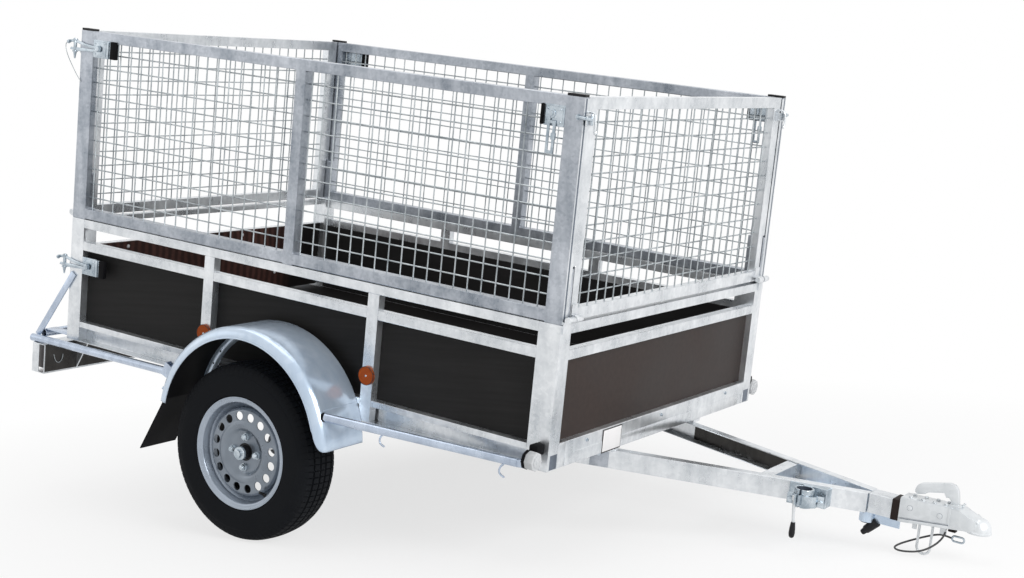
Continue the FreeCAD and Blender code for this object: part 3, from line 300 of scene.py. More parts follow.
galvanised = zinc_material(
    "galvanised steel", (0.52, 0.55, 0.58), (0.86, 0.88, 0.90), (0.22, 0.38), metallic=0.86)
cage_zinc = zinc_material(
    "cage galvanised steel", (0.20, 0.23, 0.27), (0.58, 0.61, 0.66), (0.24, 0.40), 120.0, 5.0, 0.8)
# painted reflection: the sheet's bluish tone stands in for reflected sky
sky_tinted_sheet_zinc = zinc_material(
    "rolled zinc sheet with painted sky tint", (0.48, 0.59, 0.73), (0.70, 0.80, 0.92), (0.16, 0.28), 25.0, 2.0, 0.56)
tube_zinc = zinc_material(
    "drawn zinc tube", (0.36, 0.42, 0.52), (0.62, 0.70, 0.82), (0.20, 0.32), 60.0, 6.0, 0.8)
plated = zinc_material(
    "zinc plated fittings", (0.28, 0.34, 0.39), (0.64, 0.70, 0.75), (0.18, 0.32), 160.0, 24.0, 0.85)
bright_zinc = zinc_material(
    "bright zinc pressing", (0.62, 0.65, 0.67), (0.82, 0.84, 0.86), (0.26, 0.38), 60.0, 5.0, 0.6)
wire_zinc = zinc_material(
    "galvanised wire", (0.24, 0.27, 0.29), (0.60, 0.64, 0.66), (0.26, 0.40), 200.0, 12.0, 0.7)
# painted shade: a dark copy of zinc for faces where shade falls
shaded_zinc = zinc_material(
    "shaded zinc faces", (0.08, 0.10, 0.13), (0.17, 0.20, 0.25), (0.30, 0.42), 120.0, 12.0, 0.6)
# dark rings round the reflectors, and painted shade: dark faces put where shade falls
dark_rings_and_painted_shade_zinc = zinc_material(
    "dark rings and painted shade", (0.016, 0.015, 0.014), (0.060, 0.056, 0.052), (0.22, 0.36), 60.0, 8.0, 0.6)
rim_paint = mottled_material(
    "silver wheel paint", (0.34, 0.39, 0.46), (0.44, 0.50, 0.58), (0.24, 0.34), 0.0002,
    metallic=0.5, coat=0.2)
# painted shade: a darker copy of the wheel paint for the dished disc, standing in for the shade inside the
# rim
disc_paint_with_painted_shade = mottled_material(
    "wheel paint darkened as painted shade", (0.18, 0.21, 0.25), (0.27, 0.31, 0.36), (0.24, 0.34), 0.0002,
    metallic=0.5, coat=0.2)
tyre_rubber = mottled_material(
    "tyre rubber", (0.005, 0.006, 0.008), (0.010, 0.011, 0.013), (0.66, 0.80), 0.0004, 14.0, 600.0,
    specular=0.1)
flap_rubber = mottled_material(
    "black rubber", (0.003, 0.003, 0.004), (0.006, 0.006, 0.007), (0.60, 0.74), 0.0004, specular=0.1)
black_plastic = mottled_material(
    "black plastic", (0.005, 0.005, 0.006), (0.011, 0.011, 0.013), (0.34, 0.48), 0.0002, specular=0.25)
dark_band = mottled_material(
    "brown rubber band", (0.014, 0.010, 0.009), (0.026, 0.018, 0.016), (0.55, 0.70), 0.0003, specular=0.15)
board_outside = film_board_material(
    "film-faced plywood", (0.009, 0.0085, 0.0085), (0.025, 0.024, 0.024), (0.50, 0.64), 0.16)
# the tailgate's inner face: reddish film with painted shadow of the mesh and painted shade towards its left
# end
board_inside = film_board_material(
    "reddish plywood film with painted shade", (0.020, 0.009, 0.007), (0.080, 0.036, 0.030), (0.40, 0.54), 0.22, (0.36, 0.46))
floor_film = film_board_material(
    "floor plywood film", (0.005, 0.0045, 0.0045), (0.010, 0.009, 0.009), (0.46, 0.60), 0.14)
front_film = film_board_material(
    "front plywood film", (0.016, 0.0105, 0.0092), (0.038, 0.0255, 0.0215), (0.40, 0.54), 0.2)
reflector_orange = lens_material(
    "orange reflector", (0.22, 0.028, 0.006), (0.58, 0.12, 0.014), 90.0, specular=0.12)
clear_lens = lens_material("clear lens", (0.40, 0.42, 0.44), (0.74, 0.75, 0.76), 120.0)
blank_white = mottled_material(
    "blank pale plate", (0.76, 0.75, 0.75), (0.84, 0.83, 0.83), (0.40, 0.52), 0.0001)
cable_jacket = mottled_material(
    "safety cable jacket", (0.035, 0.035, 0.036), (0.070, 0.070, 0.072), (0.34, 0.48), 0.0003)
lamp_lens = lamp_material()


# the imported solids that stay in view, by finish and by the rounding of their edges
node_finish = {
    cage_zinc: ("cage_side_left", "cage_side_right"),
    galvanised: ("axle_beam", "body_posts", "body_rails", "cross_members", "gate_hinges", "drawbar_arms",
                 "drawbar_brace", "drawbar_head", "drawbar_saddles", "front_sill", "gate_frame_front",
                 "gate_frame_rear", "light_bar", "rear_brackets", "side_sills", "swing_arms",
                 "tailgate_frame"),
    tube_zinc: ("side_tubes", "stay_clips", "step_tube"),
    sky_tinted_sheet_zinc: ("plug_holder",),
    plated: ("cable_hook", "jockey_clamp", "tailgate_hinges"),
    bright_zinc: ("wire_foot",),
    wire_zinc: ("cage_mesh_left", "cage_mesh_right", "gate_mesh_front", "gate_mesh_rear"),
    flap_rubber: ("mudflaps",),
    black_plastic: ("post_caps",),
    board_outside: ("side_board_left", "side_board_right"),
    board_inside: ("tailgate_board",),
    floor_film: ("floor_board",),
    front_film: ("front_board",),
    lamp_lens: ("rear_lamps",),
    reflector_orange: ("side_reflectors",),
}
edge_roundings = {
    1.0: ("gate_hinges", "tailgate_hinges", "side_board_left", "side_board_right"),
    1.2: ("body_rails", "light_bar", "side_sills", "mudflaps"),
    1.5: ("drawbar_arms", "rear_brackets", "jockey_clamp"),
    1.8: ("gate_frame_front", "gate_frame_rear"),
    2.0: ("body_posts", "cross_members", "drawbar_brace", "drawbar_head", "drawbar_saddles", "front_sill",
          "tailgate_frame"),
    2.4: ("cage_side_left", "cage_side_right"),
    2.5: ("post_caps",),
    4.0: ("rear_lamps",),
}
weld_distance = 0.02
least_edge_angle = math.radians(40)


def dress_nodes():
    """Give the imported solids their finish, and round the long edges of the steel sections."""
    for material, names in node_finish.items():
        for name in names:
            materials = frame["nodes"][name].data.materials
            materials.clear()
            materials.append(material)
    for radius, names in edge_roundings.items():
        for name in names:
            node = frame["nodes"][name]
            weld = node.modifiers.new("weld", "WELD")
            weld.merge_threshold = weld_distance * mm
            edge = node.modifiers.new("edge", "BEVEL")
            edge.width = radius * mm
            edge.segments = 2
            edge.limit_method = "ANGLE"
            edge.angle_limit = least_edge_angle


dress_nodes()


# mesh helpers
def finish_piece(name, data, material, body, replaces):
    """An object with its finish, riding on a body, and in place of the solid it replaces."""
    thing = bpy.data.objects.new(name, data)
    scene.collection.objects.link(thing)
    data.materials.append(material)
    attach(thing, body)
    if replaces:
        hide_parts(replaces)
    return thing


def piece(name, shape, material, body="trailer", smooth=40.0, replaces=None, merge=0.01):
    """A finished mesh object from a shape in level millimetres."""
    bmesh.ops.remove_doubles(shape, verts=shape.verts, dist=merge)
    bmesh.ops.recalc_face_normals(shape, faces=shape.faces)
    bmesh.ops.transform(shape, matrix=level, verts=shape.verts)
    mesh = bpy.data.meshes.new(name)
    shape.to_mesh(mesh)
    shape.free()
    mesh.polygons.foreach_set("use_smooth", [True] * len(mesh.polygons))
    mesh.set_sharp_from_angle(angle=math.radians(smooth))
    return finish_piece(name, mesh, material, body, replaces)


def facing(direction):
    """A turn that takes +Z to a direction."""
    return direction.to_track_quat("Z", "Y").to_matrix().to_4x4()


def round_edges(shape, edges, rounding):
    """Bevel edges in two steps, if there is a rounding."""
    if rounding:
        bmesh.ops.bevel(shape, geom=list(edges), offset=rounding, segments=2, affect="EDGES", profile=0.5,
                        material=-1)


def block(shape, low, high, rounding=0.0):
    """A box between two corners, its edges rounded."""
    low, high = Vector(low), Vector(high)
    matrix = Matrix.Translation((low + high) / 2) @ Matrix.Diagonal((*(high - low), 1))
    made = bmesh.ops.create_cube(shape, size=1.0, matrix=matrix)
    round_edges(shape, {edge for vert in made["verts"] for edge in vert.link_edges}, rounding)


def bar(shape, start, end, radius, sides=16, rounding=0.0, end_radius=None):
    """A round or many-sided bar between two points, its end edges rounded."""
    start, end = Vector(start), Vector(end)
    along = end - start
    made = bmesh.ops.create_cone(shape, cap_ends=True, segments=sides, radius1=radius,
                                 radius2=radius if end_radius is None else end_radius, depth=along.length,
                                 matrix=Matrix.Translation((start + end) / 2) @ facing(along.normalized()))
    edges = {edge for vert in made["verts"] for edge in vert.link_edges
             if any(len(face.verts) == sides for face in edge.link_faces)}
    round_edges(shape, edges, rounding)


def bolt(shape, place, outward, size=6.0):
    """A hexagon bolt head on its washer, standing on a face."""
    place = Vector(place)
    foot, top = place + outward * 1.4, place + outward * (1.4 + size * 0.62)
    bar(shape, place, place + outward * 1.6, size * 1.15, sides=20)
    bar(shape, foot, top, size, sides=6, rounding=size * 0.1)


def dome(shape, place, outward, radius, height):
    """A low rounded bolt or rivet head."""
    turn = Matrix.Translation(Vector(place)) @ facing(outward)
    bmesh.ops.create_uvsphere(shape, u_segments=16, v_segments=8, radius=1.0,
                              matrix=turn @ Matrix.Diagonal((radius, radius, height, 1)))


def turned(shape, outline, centre, axis, steps):
    """A full spin of a closed outline, (distance along the axis, radius), about an axis square to X."""
    points = [shape.verts.new(centre + axis * along + X * radius) for along, radius in outline]
    edges = [shape.edges.new(pair) for pair in zip(points, points[1:])]
    edges.append(shape.edges.new((points[-1], points[0])))
    bmesh.ops.spin(shape, geom=points + edges, cent=centre, axis=axis, angle=2 * math.pi, steps=steps,
                   use_merge=True, use_duplicate=False)


def turned_piece(name, outline, centre, axis, steps, material, body="trailer", replaces=None):
    """A piece made of one turned outline."""
    shape = bmesh.new()
    turned(shape, outline, centre, axis, steps)
    return piece(name, shape, material, body, replaces=replaces)


def plate(shape, outline, thickness, rounding=0.0):
    """A flat plate from its corner points, thickened along a vector."""
    corners = [shape.verts.new(Vector(point)) for point in outline]
    face = shape.faces.new(corners)
    grown = bmesh.ops.extrude_face_region(shape, geom=[face])
    new = [item for item in grown["geom"] if isinstance(item, bmesh.types.BMVert)]
    bmesh.ops.translate(shape, vec=Vector(thickness), verts=new)
    round_edges(shape, {edge for vert in corners + new for edge in vert.link_edges}, rounding)


def smooth_curve(name, points, order=3):
    """A curve with one smooth spline through level points."""
    curve = bpy.data.curves.new(name, "CURVE")
    curve.dimensions = "3D"
    spline = curve.splines.new("NURBS")
    spline.points.add(len(points) - 1)
    for target, point in zip(spline.points, points):
        target.co = (*(level @ Vector(point)), 1)
    spline.order_u = order
    spline.use_endpoint_u = True
    return curve


def bent_wire(name, points, radius, material, body="trailer", order=3, resolution=8,
              replaces=None):
    """A round wire along a smooth curve through level points."""
    curve = smooth_curve(name, points, order)
    curve.bevel_depth = radius * mm
    curve.bevel_resolution = 3
    curve.use_fill_caps = True
    curve.splines[0].resolution_u = resolution
    return finish_piece(name, curve, material, body, replaces)


# safety cable
coupling_start = 2857.0
cable_radius = 3.0
cable_route = ((148.0, -16.0, -72.2), (146.0, -20.0, -96.0), (98.0, -34.0, -142.0), (38.0, -36.0, -158.0),
               (0.0, -12.0, -164.0), (0.0, 14.0, -158.0), (44.0, 34.0, -134.0), (106.0, 34.0, -102.0),
               (139.0, 10.0, -90.0), (162.8, 0.0, -90.0))


def route_length(points):
    """The length of the cable's own smooth curve, in metres, measured on a curve with no bevel."""
    holder = bpy.data.objects.new("route", smooth_curve("route", points))
    mesh = bpy.data.meshes.new_from_object(holder)
    total = sum((mesh.vertices[edge.vertices[0]].co - mesh.vertices[edge.vertices[1]].co).length
                for edge in mesh.edges)
    bpy.data.objects.remove(holder)
    bpy.data.meshes.remove(mesh)
    return total


def make_safety_cable():
    """The thin safety cable that loops under the coupling into its snap hook."""
    points = [(coupling_start + x, y, z) for x, y, z in cable_route]
    cable = bent_wire("safety_cable_line", points, cable_radius, cable_jacket, resolution=12,
                      replaces="safety_cable")
    round(route_length(points), 4)


make_safety_cable()


# wheels
wheel_x, wheel_z = 998.0, -156.0
half_track = 785.5
tread_pitches = 84
# one tread pitch: two parts of rib, then near wall, floor and far wall of the sipe that crosses it
pitch_shares = (0.40, 0.40, 0.05, 0.10, 0.05)
share_margin = 0.02
tread_depth = 5.0
shoulder_sipe_share = 0.35
tread_low, rib_low = 260.0, 283.0
shoulder_place = 58.0
sipe_slant = 0.12
# half profile from the bead to the crown: (distance from the tyre's middle, radius)
sidewall_line = ((54.0, 166.4), (61.0, 167.4), (63.8, 171.5), (64.4, 177.0), (66.0, 181.4), (69.0, 184.0),
                 (72.4, 186.0), (74.2, 189.6), (75.0, 191.6), (75.6, 192.0), (76.6, 204.0), (77.3, 220.0),
                 (77.5, 234.0), (76.6, 246.0), (75.8, 248.4), (75.0, 249.2), (73.0, 258.0), (70.0, 266.0))
tread_line = ((66.0, 273.5), (60.0, 279.6), (44.0, 284.2), (42.8, 279.2), (37.4, 279.6), (36.2, 285.1),
              (16.0, 286.7), (14.8, 281.6), (9.4, 281.8), (8.2, 287.0))
liner_line = ((0.0, 272.0), (50.0, 266.0), (64.0, 240.0), (66.0, 215.0), (60.0, 186.0), (54.0, 174.0))


def make_tyre(side, word):
    """A road tyre: ringed sidewalls, ribs, and slanted sipes cut into ribs and shoulders."""
    centre = Vector((wheel_x, side * half_track, wheel_z))
    outer = list(sidewall_line) + list(tread_line)
    outline = outer + [(-along, radius) for along, radius in reversed(outer)]
    back = [(-along, radius) for along, radius in reversed(liner_line)] + list(liner_line[1:])
    shape = bmesh.new()
    verts = [shape.verts.new(centre + Y * along + X * radius) for along, radius in outline + back]
    geometry = verts + [shape.edges.new(pair) for pair in zip(verts, verts[1:] + verts[:1])]
    pitch = 2 * math.pi / tread_pitches
    for share in pitch_shares:
        geometry = bmesh.ops.spin(shape, geom=geometry, cent=centre, axis=Y, angle=pitch * share, steps=1,
                                  use_merge=False, use_duplicate=False)["geom_last"]
    sipe_start, sipe_end = sum(pitch_shares[:3]) - share_margin, sum(pitch_shares[:4]) + share_margin
    for vert in shape.verts:
        offset = vert.co - centre
        along = abs(offset.y)
        radius = math.hypot(offset.x, offset.z)
        angle = math.atan2(-offset.z, offset.x)
        if radius > tread_low:
            if sipe_start < angle / pitch < sipe_end:
                if along < shoulder_place and radius > rib_low:
                    radius -= tread_depth
                elif along > shoulder_place:
                    radius -= shoulder_sipe_share * tread_depth
            angle += sipe_slant * offset.y / half_track
        vert.co = centre + Vector((radius * math.cos(angle), offset.y, -radius * math.sin(angle)))
    sector = shape.verts[:] + shape.edges[:] + shape.faces[:]
    for index in range(1, tread_pitches):
        copy = bmesh.ops.duplicate(shape, geom=sector)
        moved = [item for item in copy["geom"] if isinstance(item, bmesh.types.BMVert)]
        bmesh.ops.rotate(shape, cent=centre, matrix=Matrix.Rotation(pitch * index, 3, Y), verts=moved)
    piece("tyre_tread_" + word, shape, tyre_rubber, "wheel_" + word, smooth=28.0, replaces="tyre_" + word,
          merge=0.05)


# rim section, (distance from the wheel's middle, radius), down to the well and back on the open side
rim_tyre_side = ((-71.0, 181.5), (-68.6, 181.2), (-66.4, 179.6), (-65.2, 176.6), (-64.8, 170.0),
                 (-63.2, 166.8), (-58.0, 165.6), (-36.0, 163.6), (-33.2, 161.2), (-24.4, 148.4),
                 (-21.4, 146.2))
rim_open_side = ((-71.0, 178.4), (-69.6, 177.4), (-68.6, 175.4), (-68.3, 169.0), (-66.8, 165.0),
                 (-62.4, 162.4), (-37.6, 160.4), (-35.2, 158.8), (-26.4, 146.0), (-22.6, 142.8))
rim_sheet = 3.5
disc_face = 51.0
disc_section = ((9.0, 29.0), (9.0, 60.0), (8.3, 65.0), (5.6, 69.5), (0.6, 74.5), (-3.4, 79.0), (-5.4, 84.0),
                (-5.8, 89.0), (-4.6, 94.0), (-2.4, 98.0), (-0.5, 101.0), (0.0, 103.0), (0.5, 131.0),
                (1.6, 135.0), (4.2, 138.6), (8.6, 141.2), (14.0, 142.2), (30.0, 142.9))
# the barrel's inner surface behind the disc, (distance from the wheel's middle, radius), which takes a black
# sleeve of painted shade
barrel_shade = ((20.0, 142.8), (-22.6, 142.8), (-26.4, 146.0), (-35.2, 158.8), (-37.6, 160.4), (-60.0, 162.2))
hole_circle, hole_radius, hole_count, hole_turn = 117.6, 14.0, 16, 0.6
stud_circle, stud_hole_radius, stud_count = 50.0, 6.4, 4


def spoke_way(count, index, turn=0.0):
    """The direction of one of several evenly spaced spokes."""
    angle = 2 * math.pi * (index + turn) / count
    return Vector((math.cos(angle), 0, math.sin(angle)))


def mirrored_ring(near, far):
    """A closed section from its outer and inner halves, mirrored about the wheel's middle."""
    ring = list(near) + [(-along, radius) for along, radius in reversed(near)]
    return ring + [(-along, radius) for along, radius in far] + list(reversed(far))


def cut_holes(thing, centre):
    """Punch the sixteen round holes and the stud holes through a disc, and keep the result as its mesh."""
    shape = bmesh.new()
    for count, turn, circle, radius, sides in ((hole_count, hole_turn, hole_circle, hole_radius, 32),
                                               (stud_count, 0.0, stud_circle, stud_hole_radius, 16)):
        for index in range(count):
            around = centre + spoke_way(count, index, turn) * circle
            bar(shape, around - Y * 90, around + Y * 90, radius, sides=sides)
    bmesh.ops.transform(shape, matrix=level, verts=shape.verts)
    cutter = bpy.data.objects.new("hole_cutter", bpy.data.meshes.new("hole_cutter"))
    shape.to_mesh(cutter.data)
    shape.free()
    scene.collection.objects.link(cutter)
    cut = thing.modifiers.new("holes", "BOOLEAN")
    cut.operation = "DIFFERENCE"
    cut.solver = "EXACT"
    cut.object = cutter
    bpy.context.view_layer.update()
    thing.data = bpy.data.meshes.new_from_object(thing.evaluated_get(bpy.context.evaluated_depsgraph_get()))
    thing.modifiers.clear()
    thing.data.set_sharp_from_angle(angle=math.radians(40))
    bpy.data.objects.remove(cutter)


def make_rim(side, word):
    """The pressed rim: rolled flange and well, dished disc with a raised ring and sixteen round holes, and a
    thin black sleeve of painted shade inside the barrel.
    """
    centre = Vector((wheel_x, side * half_track, wheel_z))
    name, body, out = "wheel_rim_" + word, "wheel_" + word, Y * side
    turned_piece(name, mirrored_ring(rim_tyre_side, rim_open_side), centre, out, 128, rim_paint, body,
                 "rim_" + word)
    line = [(disc_face - deep, radius) for deep, radius in disc_section]
    back = [(along - rim_sheet, radius) for along, radius in reversed(line)]
    cut_holes(turned_piece(name + "_disc", line + back, centre, out, 128, disc_paint_with_painted_shade, body), centre)
    # painted shade: a thin black sleeve on the barrel's inner surface behind the disc darkens what shows
    # through the holes
    outside = [(along, radius - 0.05) for along, radius in barrel_shade]
    inside = [(along, radius - 0.4) for along, radius in reversed(barrel_shade)]
    turned_piece(name + "_shade_sleeve", outside + inside, centre, out, 64, flap_rubber, body)


# hub section, (distance out from the wheel's middle, radius): cap, flange, barrel, bore
hub_section = ((83.5, 0.0), (83.5, 11.2), (82.0, 13.2), (76.0, 13.8), (73.6, 14.6), (72.8, 20.4),
               (70.8, 22.0), (62.6, 22.0), (62.0, 21.0), (38.5, 21.0), (38.5, 62.0), (29.5, 62.0),
               (29.5, 36.0), (-19.5, 36.0), (-19.5, 15.1), (38.4, 15.1), (38.4, 13.0), (76.0, 11.0),
               (76.0, 0.0))
# black ring and thin sleeve on the hub inside the disc's bore: painted shade, (distance out, radius)
shade_ring_section = ((61.8, 21.2), (61.8, 22.6), (41.6, 23.0), (40.6, 28.6), (38.7, 28.6), (38.7, 21.2))
nut_seat = 42.2
valve_angle = -0.84
valve_circle = 158.0


def make_hub(side, word):
    """Hub with its grease cap, four wheel nuts with domed ends, a black ring and sleeve of painted shade
    where the hub meets the disc's bore, and the tyre valve.
    """
    centre = Vector((wheel_x, side * half_track, wheel_z))
    name, body, out = "wheel_hub_" + word, "wheel_" + word, Y * side
    shape = bmesh.new()
    turned(shape, hub_section, centre, out, 48)
    for index in range(stud_count):
        foot = centre + spoke_way(stud_count, index) * stud_circle + out * nut_seat
        bar(shape, foot, foot + out * 3, 12.4, sides=24)
        bar(shape, foot + out * 2.6, foot + out * 13, 11.4, sides=6, rounding=1.4)
        bar(shape, foot + out * 12.4, foot + out * 16, 8.2, sides=20)
        dome(shape, foot + out * 16, out, 8.2, 2.8)
    piece(name, shape, plated, body, smooth=35.0, replaces="hub_" + word)
    shape = bmesh.new()
    turned(shape, shade_ring_section, centre, out, 40)
    spoke = Vector((math.cos(valve_angle), 0, math.sin(valve_angle)))
    foot = centre + spoke * valve_circle
    bar(shape, foot + out * 52, foot - spoke * 9 + out * 58, 6.5, sides=16, end_radius=5.4)
    bar(shape, foot - spoke * 8.6 + out * 57.6, foot - spoke * 17 + out * 70, 4.2, sides=16, rounding=0.6)
    piece(name + "_shade_ring_and_valve", shape, black_plastic, body, smooth=35.0)


for side, word in both_sides:
    make_tyre(side, word)
    make_rim(side, word)
    make_hub(side, word)


# mudguards
guard_centre = Vector((1005.0, 0.0, -97.0))
guard_crown = 350.0
guard_lip = 313.0
guard_width = 203.0
guard_sheet = 2.5
guard_bend = 30.0
guard_flange = 317.0
guard_low, guard_high = math.radians(5.0), math.radians(172.0)
corner_sweep = math.radians(18.0)
corner_span = math.radians(30.0)


def guard_place(angle, radius, along):
    """The place at an angle, radius and width on the mudguard."""
    turn = math.radians(angle)
    return guard_centre + Vector((radius * math.cos(turn), along, radius * math.sin(turn)))


def guard_section():
    """Mudguard sheet from the flange against the body over the crown and the shoulder to the beaded lip."""
    y_in = half_width + seat
    y_out = y_in + guard_width
    line = [(y_in, guard_flange), (y_in, guard_crown - 3), (y_in + 0.9, guard_crown - 0.9),
            (y_in + 3, guard_crown), (y_in + 60, guard_crown), (y_in + 120, guard_crown)]
    for step in range(11):
        turn = math.pi / 2 * step / 10
        line.append((y_out - guard_bend + guard_bend * math.sin(turn),
                     guard_crown - guard_bend + guard_bend * math.cos(turn)))
    return line + [(y_out, guard_lip + 6.6), (y_out - 1.6, guard_lip + 5.2), (y_out - 1.6, guard_lip + 3.8),
                   (y_out, guard_lip + 2.4), (y_out - 0.5, guard_lip + 0.6), (y_out - 2.4, guard_lip)]


def make_mudguard(side, word):
    """A rolled sheet whose lip and flange run out in a quarter ellipse at the front."""
    shape = bmesh.new()
    points = [shape.verts.new(guard_centre + X * radius + Y * along * side)
              for along, radius in guard_section()]
    edges = [shape.edges.new(pair) for pair in zip(points, points[1:])]
    bmesh.ops.rotate(shape, cent=guard_centre, matrix=Matrix.Rotation(-guard_low, 3, Y), verts=points)
    bmesh.ops.spin(shape, geom=points + edges, cent=guard_centre, axis=-Y, angle=guard_high - guard_low,
                   steps=110, use_merge=False, use_duplicate=False)
    for vert in shape.verts:
        offset = vert.co - guard_centre
        radius = math.hypot(offset.x, offset.z)
        angle = math.atan2(offset.z, offset.x)
        depth = min(1.0, max(0.0, (guard_crown - radius) / (guard_crown - guard_lip)))
        if depth > 0.001 and angle < guard_low + corner_span:
            least = guard_low + corner_sweep * (1 - math.sqrt(1 - depth * depth))
            share = (angle - guard_low) / corner_span
            angle = least + share * (guard_low + corner_span - least)
            vert.co = guard_centre + Vector((radius * math.cos(angle), offset.y, radius * math.sin(angle)))
    thing = piece("mudguard_sheet_" + word, shape, sky_tinted_sheet_zinc, smooth=50.0, replaces="mudguard_" + word)
    wall = thing.modifiers.new("sheet", "SOLIDIFY")
    wall.thickness = guard_sheet * mm
    wall.offset = -1


def make_guard_trim(side, word):
    """Lap seam, clip bolt, flange holes and stay hole of one mudguard."""
    shape = bmesh.new()
    seam = [guard_place(26, guard_crown - 0.4, side * along) for along in (692, 852)]
    bar(shape, *seam, 1.6, sides=8)
    out = (guard_place(166, 400, 0) - guard_centre).normalized()
    foot = guard_place(166, guard_crown, side * 868)
    bar(shape, foot - out, foot + out * 3, 5.0, sides=12)
    piece("guard_seam_" + word, shape, sky_tinted_sheet_zinc)
    shape = bmesh.new()
    for angle in (143.5, 152.8):
        foot = guard_place(angle, 334, side * (half_width + seat + guard_sheet))
        bar(shape, foot - Y * side * 0.4, foot + Y * side * 0.5, 3.6, sides=16)
    foot = guard_place(22.5, guard_crown, side * 856)
    out = (foot - guard_centre - Y * foot.y).normalized()
    bar(shape, foot - out * 0.6, foot + out * 0.7, 15.0, sides=24)
    piece("guard_holes_" + word, shape, black_plastic)


for side, word in both_sides:
    make_mudguard(side, word)
    make_guard_trim(side, word)


# latches, hooks and small fittings
latch_half_height = 31.0
rear_latch_heights = (1032.0, 275.0)
front_latch_height = 1029.0
# forked arm of a rear latch, (place along the body, rise from the latch's middle)
upper_prong = ((94, 8), (60, 9), (24, 13), (-18, 22), (-52, 20), (-52, 11), (-20, 13), (16, 4), (60, -1),
               (94, -2))
lower_prong = ((94, -2), (60, -3), (18, -3), (-44, -5), (-48, -13), (-12, -17), (24, -15), (60, -13),
               (94, -10))
latch_pin_x = -24.0
fork_bolt_x = -54.0


def latch_plate(metal, side, start, end, face_start, face_end, low, high):
    """The plate of a latch, its raised face and four low rivets at the corners of the face."""
    block(metal, (start, side * 681, low), (end, side * 686.2, high), 2.0)
    block(metal, (face_start, side * 686, low + 6), (face_end, side * 687.4, high - 6), 1.0)
    for x in (face_start + 7, face_end - 7):
        for z in (low + 13, high - 13):
            dome(metal, (x, side * 687.4, z), Y * side, 3.2, 2.0)


def rear_latch(metal, rubber, side, middle):
    """Plate, folded catch, rubber block, forked arm, tapered pin and centre bolt beside a rear post."""
    low, high = middle - latch_half_height, middle + latch_half_height
    latch_plate(metal, side, 60.2, 129.8, 66, 123, low, high)
    block(metal, (130.2, side * 679, low + 1), (138.6, side * 690, high - 1), 1.4)
    block(metal, (139.4, side * 679, low + 2), (148.0, side * 687, high - 2), 1.4)
    block(rubber, (148.2, side * 677, low + 1), (174.0, side * 693, high - 1), 2.5)
    for prong in (upper_prong, lower_prong):
        plate(metal, [(x, side * 687.4, middle + rise) for x, rise in prong], Y * side * 5.2, rounding=1.0)
    bolt(metal, (92, side * 692.4, middle), Y * side, size=10.5)
    pin = Vector((latch_pin_x, side * 690, middle))
    bar(metal, pin + Z * 27, pin - Z * 26, 6.0, sides=20, rounding=1.0)
    bar(metal, pin - Z * 25, pin - Z * 43, 5.4, sides=20, end_radius=2.6)
    for rise, radius in ((22, 9.0), (-18, 9.5)):
        bar(metal, pin + Z * (rise - 2.5), pin + Z * (rise + 2.5), radius, sides=20, rounding=0.8)
    bolt(metal, (fork_bolt_x, side * 692.4, middle + 12), Y * side, size=6.0)
    bar(metal, (fork_bolt_x, side * 686, middle + 12), (fork_bolt_x, side * 693, middle + 12), 4.0)


def front_latch(metal, rubber, side, middle):
    """Plate, round boss with its folded double lever, and the bolt that reaches round the front post."""
    low, high = middle - latch_half_height, middle + latch_half_height
    latch_plate(metal, side, bed_length - 130, bed_length - 60.2, bed_length - 124, bed_length - 66,
                low, high)
    block(rubber, (bed_length - 138.2, side * 677, low + 1), (bed_length - 130.2, side * 693, high - 1), 2.5)
    boss = Vector((bed_length - 104, side * 687, middle + 5))
    bar(metal, boss, boss + Y * side * 4, 14.5, sides=28, rounding=1.0)
    bar(metal, boss, boss + Y * side * 8, 10.0, sides=6, rounding=1.0)
    for x, top in ((-8, -4), (11, -20)):
        block(metal, boss + Vector((x, side * 2, -114)), boss + Vector((x + 9, side * 6, top)), 1.2)
    for low_z, high_z in ((-114, -105), (-29, -20)):
        block(metal, boss + Vector((-8, side * 1.4, low_z)), boss + Vector((20, side * 5.6, high_z)), 1.2)
    block(metal, boss + Vector((8, 0, -74)), boss + Vector((23, side * 9, -54)), 2.0)
    reach = Vector((bed_length - 16, side * 689.5, middle + 4))
    corner = Vector((bed_length + 11, side * 690, middle + 3))
    end = Vector((bed_length + 15, side * 661, middle - 1))
    bolt(metal, (reach.x, side * half_width, reach.z), Y * side, size=7.5)
    bar(metal, reach, corner, 5.0, rounding=1.0)
    bar(metal, corner, end, 5.0, rounding=1.0)
    bar(metal, end - Z * 15, end + Z * 17, 4.4, rounding=1.0)
    bar(metal, (bed_length - 0.5, end.y, end.z), end, 4.0)


def make_latches():
    """All six corner latches."""
    metal, rubber = bmesh.new(), bmesh.new()
    for side in (-1, 1):
        for middle in rear_latch_heights:
            rear_latch(metal, rubber, side, middle)
        front_latch(metal, rubber, side, front_latch_height)
    piece("latch_metalwork", metal, plated, smooth=35.0, replaces="latches")
    piece("latch_rubber_blocks", rubber, flap_rubber, smooth=35.0, replaces="latch_blocks")


# wires as level points of the left side, (x, y, z): rope hook from its foot on the tube, keeper wire of a
# rear latch, catch hook of the front gate, wire loop in the light bar
rope_hook_places = ((1448.0, -4.0), (1893.0, 8.0))
rope_hook = ((0, 704, 0), (-1, 704, -10), (-13, 704, -20), (-18, 704, -34), (-12, 704, -47), (3, 704, -50))
keeper_wire = ((-54, 694, 1044), (-72, 694, 1040), (-62, 694, 1004), (-34, 693, 968), (-9, 692, 934),
               (8, 686, 912))
catch_hook = ((2022, 648, 1047), (2044, 648, 1050), (2047, 651, 1026), (2047, 652, 994), (2046, 646, 984),
              (2046, 640, 996))
bar_loop = ((-76, 672, -76), (-74, 668, -100), (-74, 652, -114), (-74, 634, -104), (-76, 630, -80))


def on_side(points, side, x=0.0, z=0.0):
    """Points of the left side taken to either side and moved along and up."""
    return [(x + point[0], side * point[1], z + point[2]) for point in points]


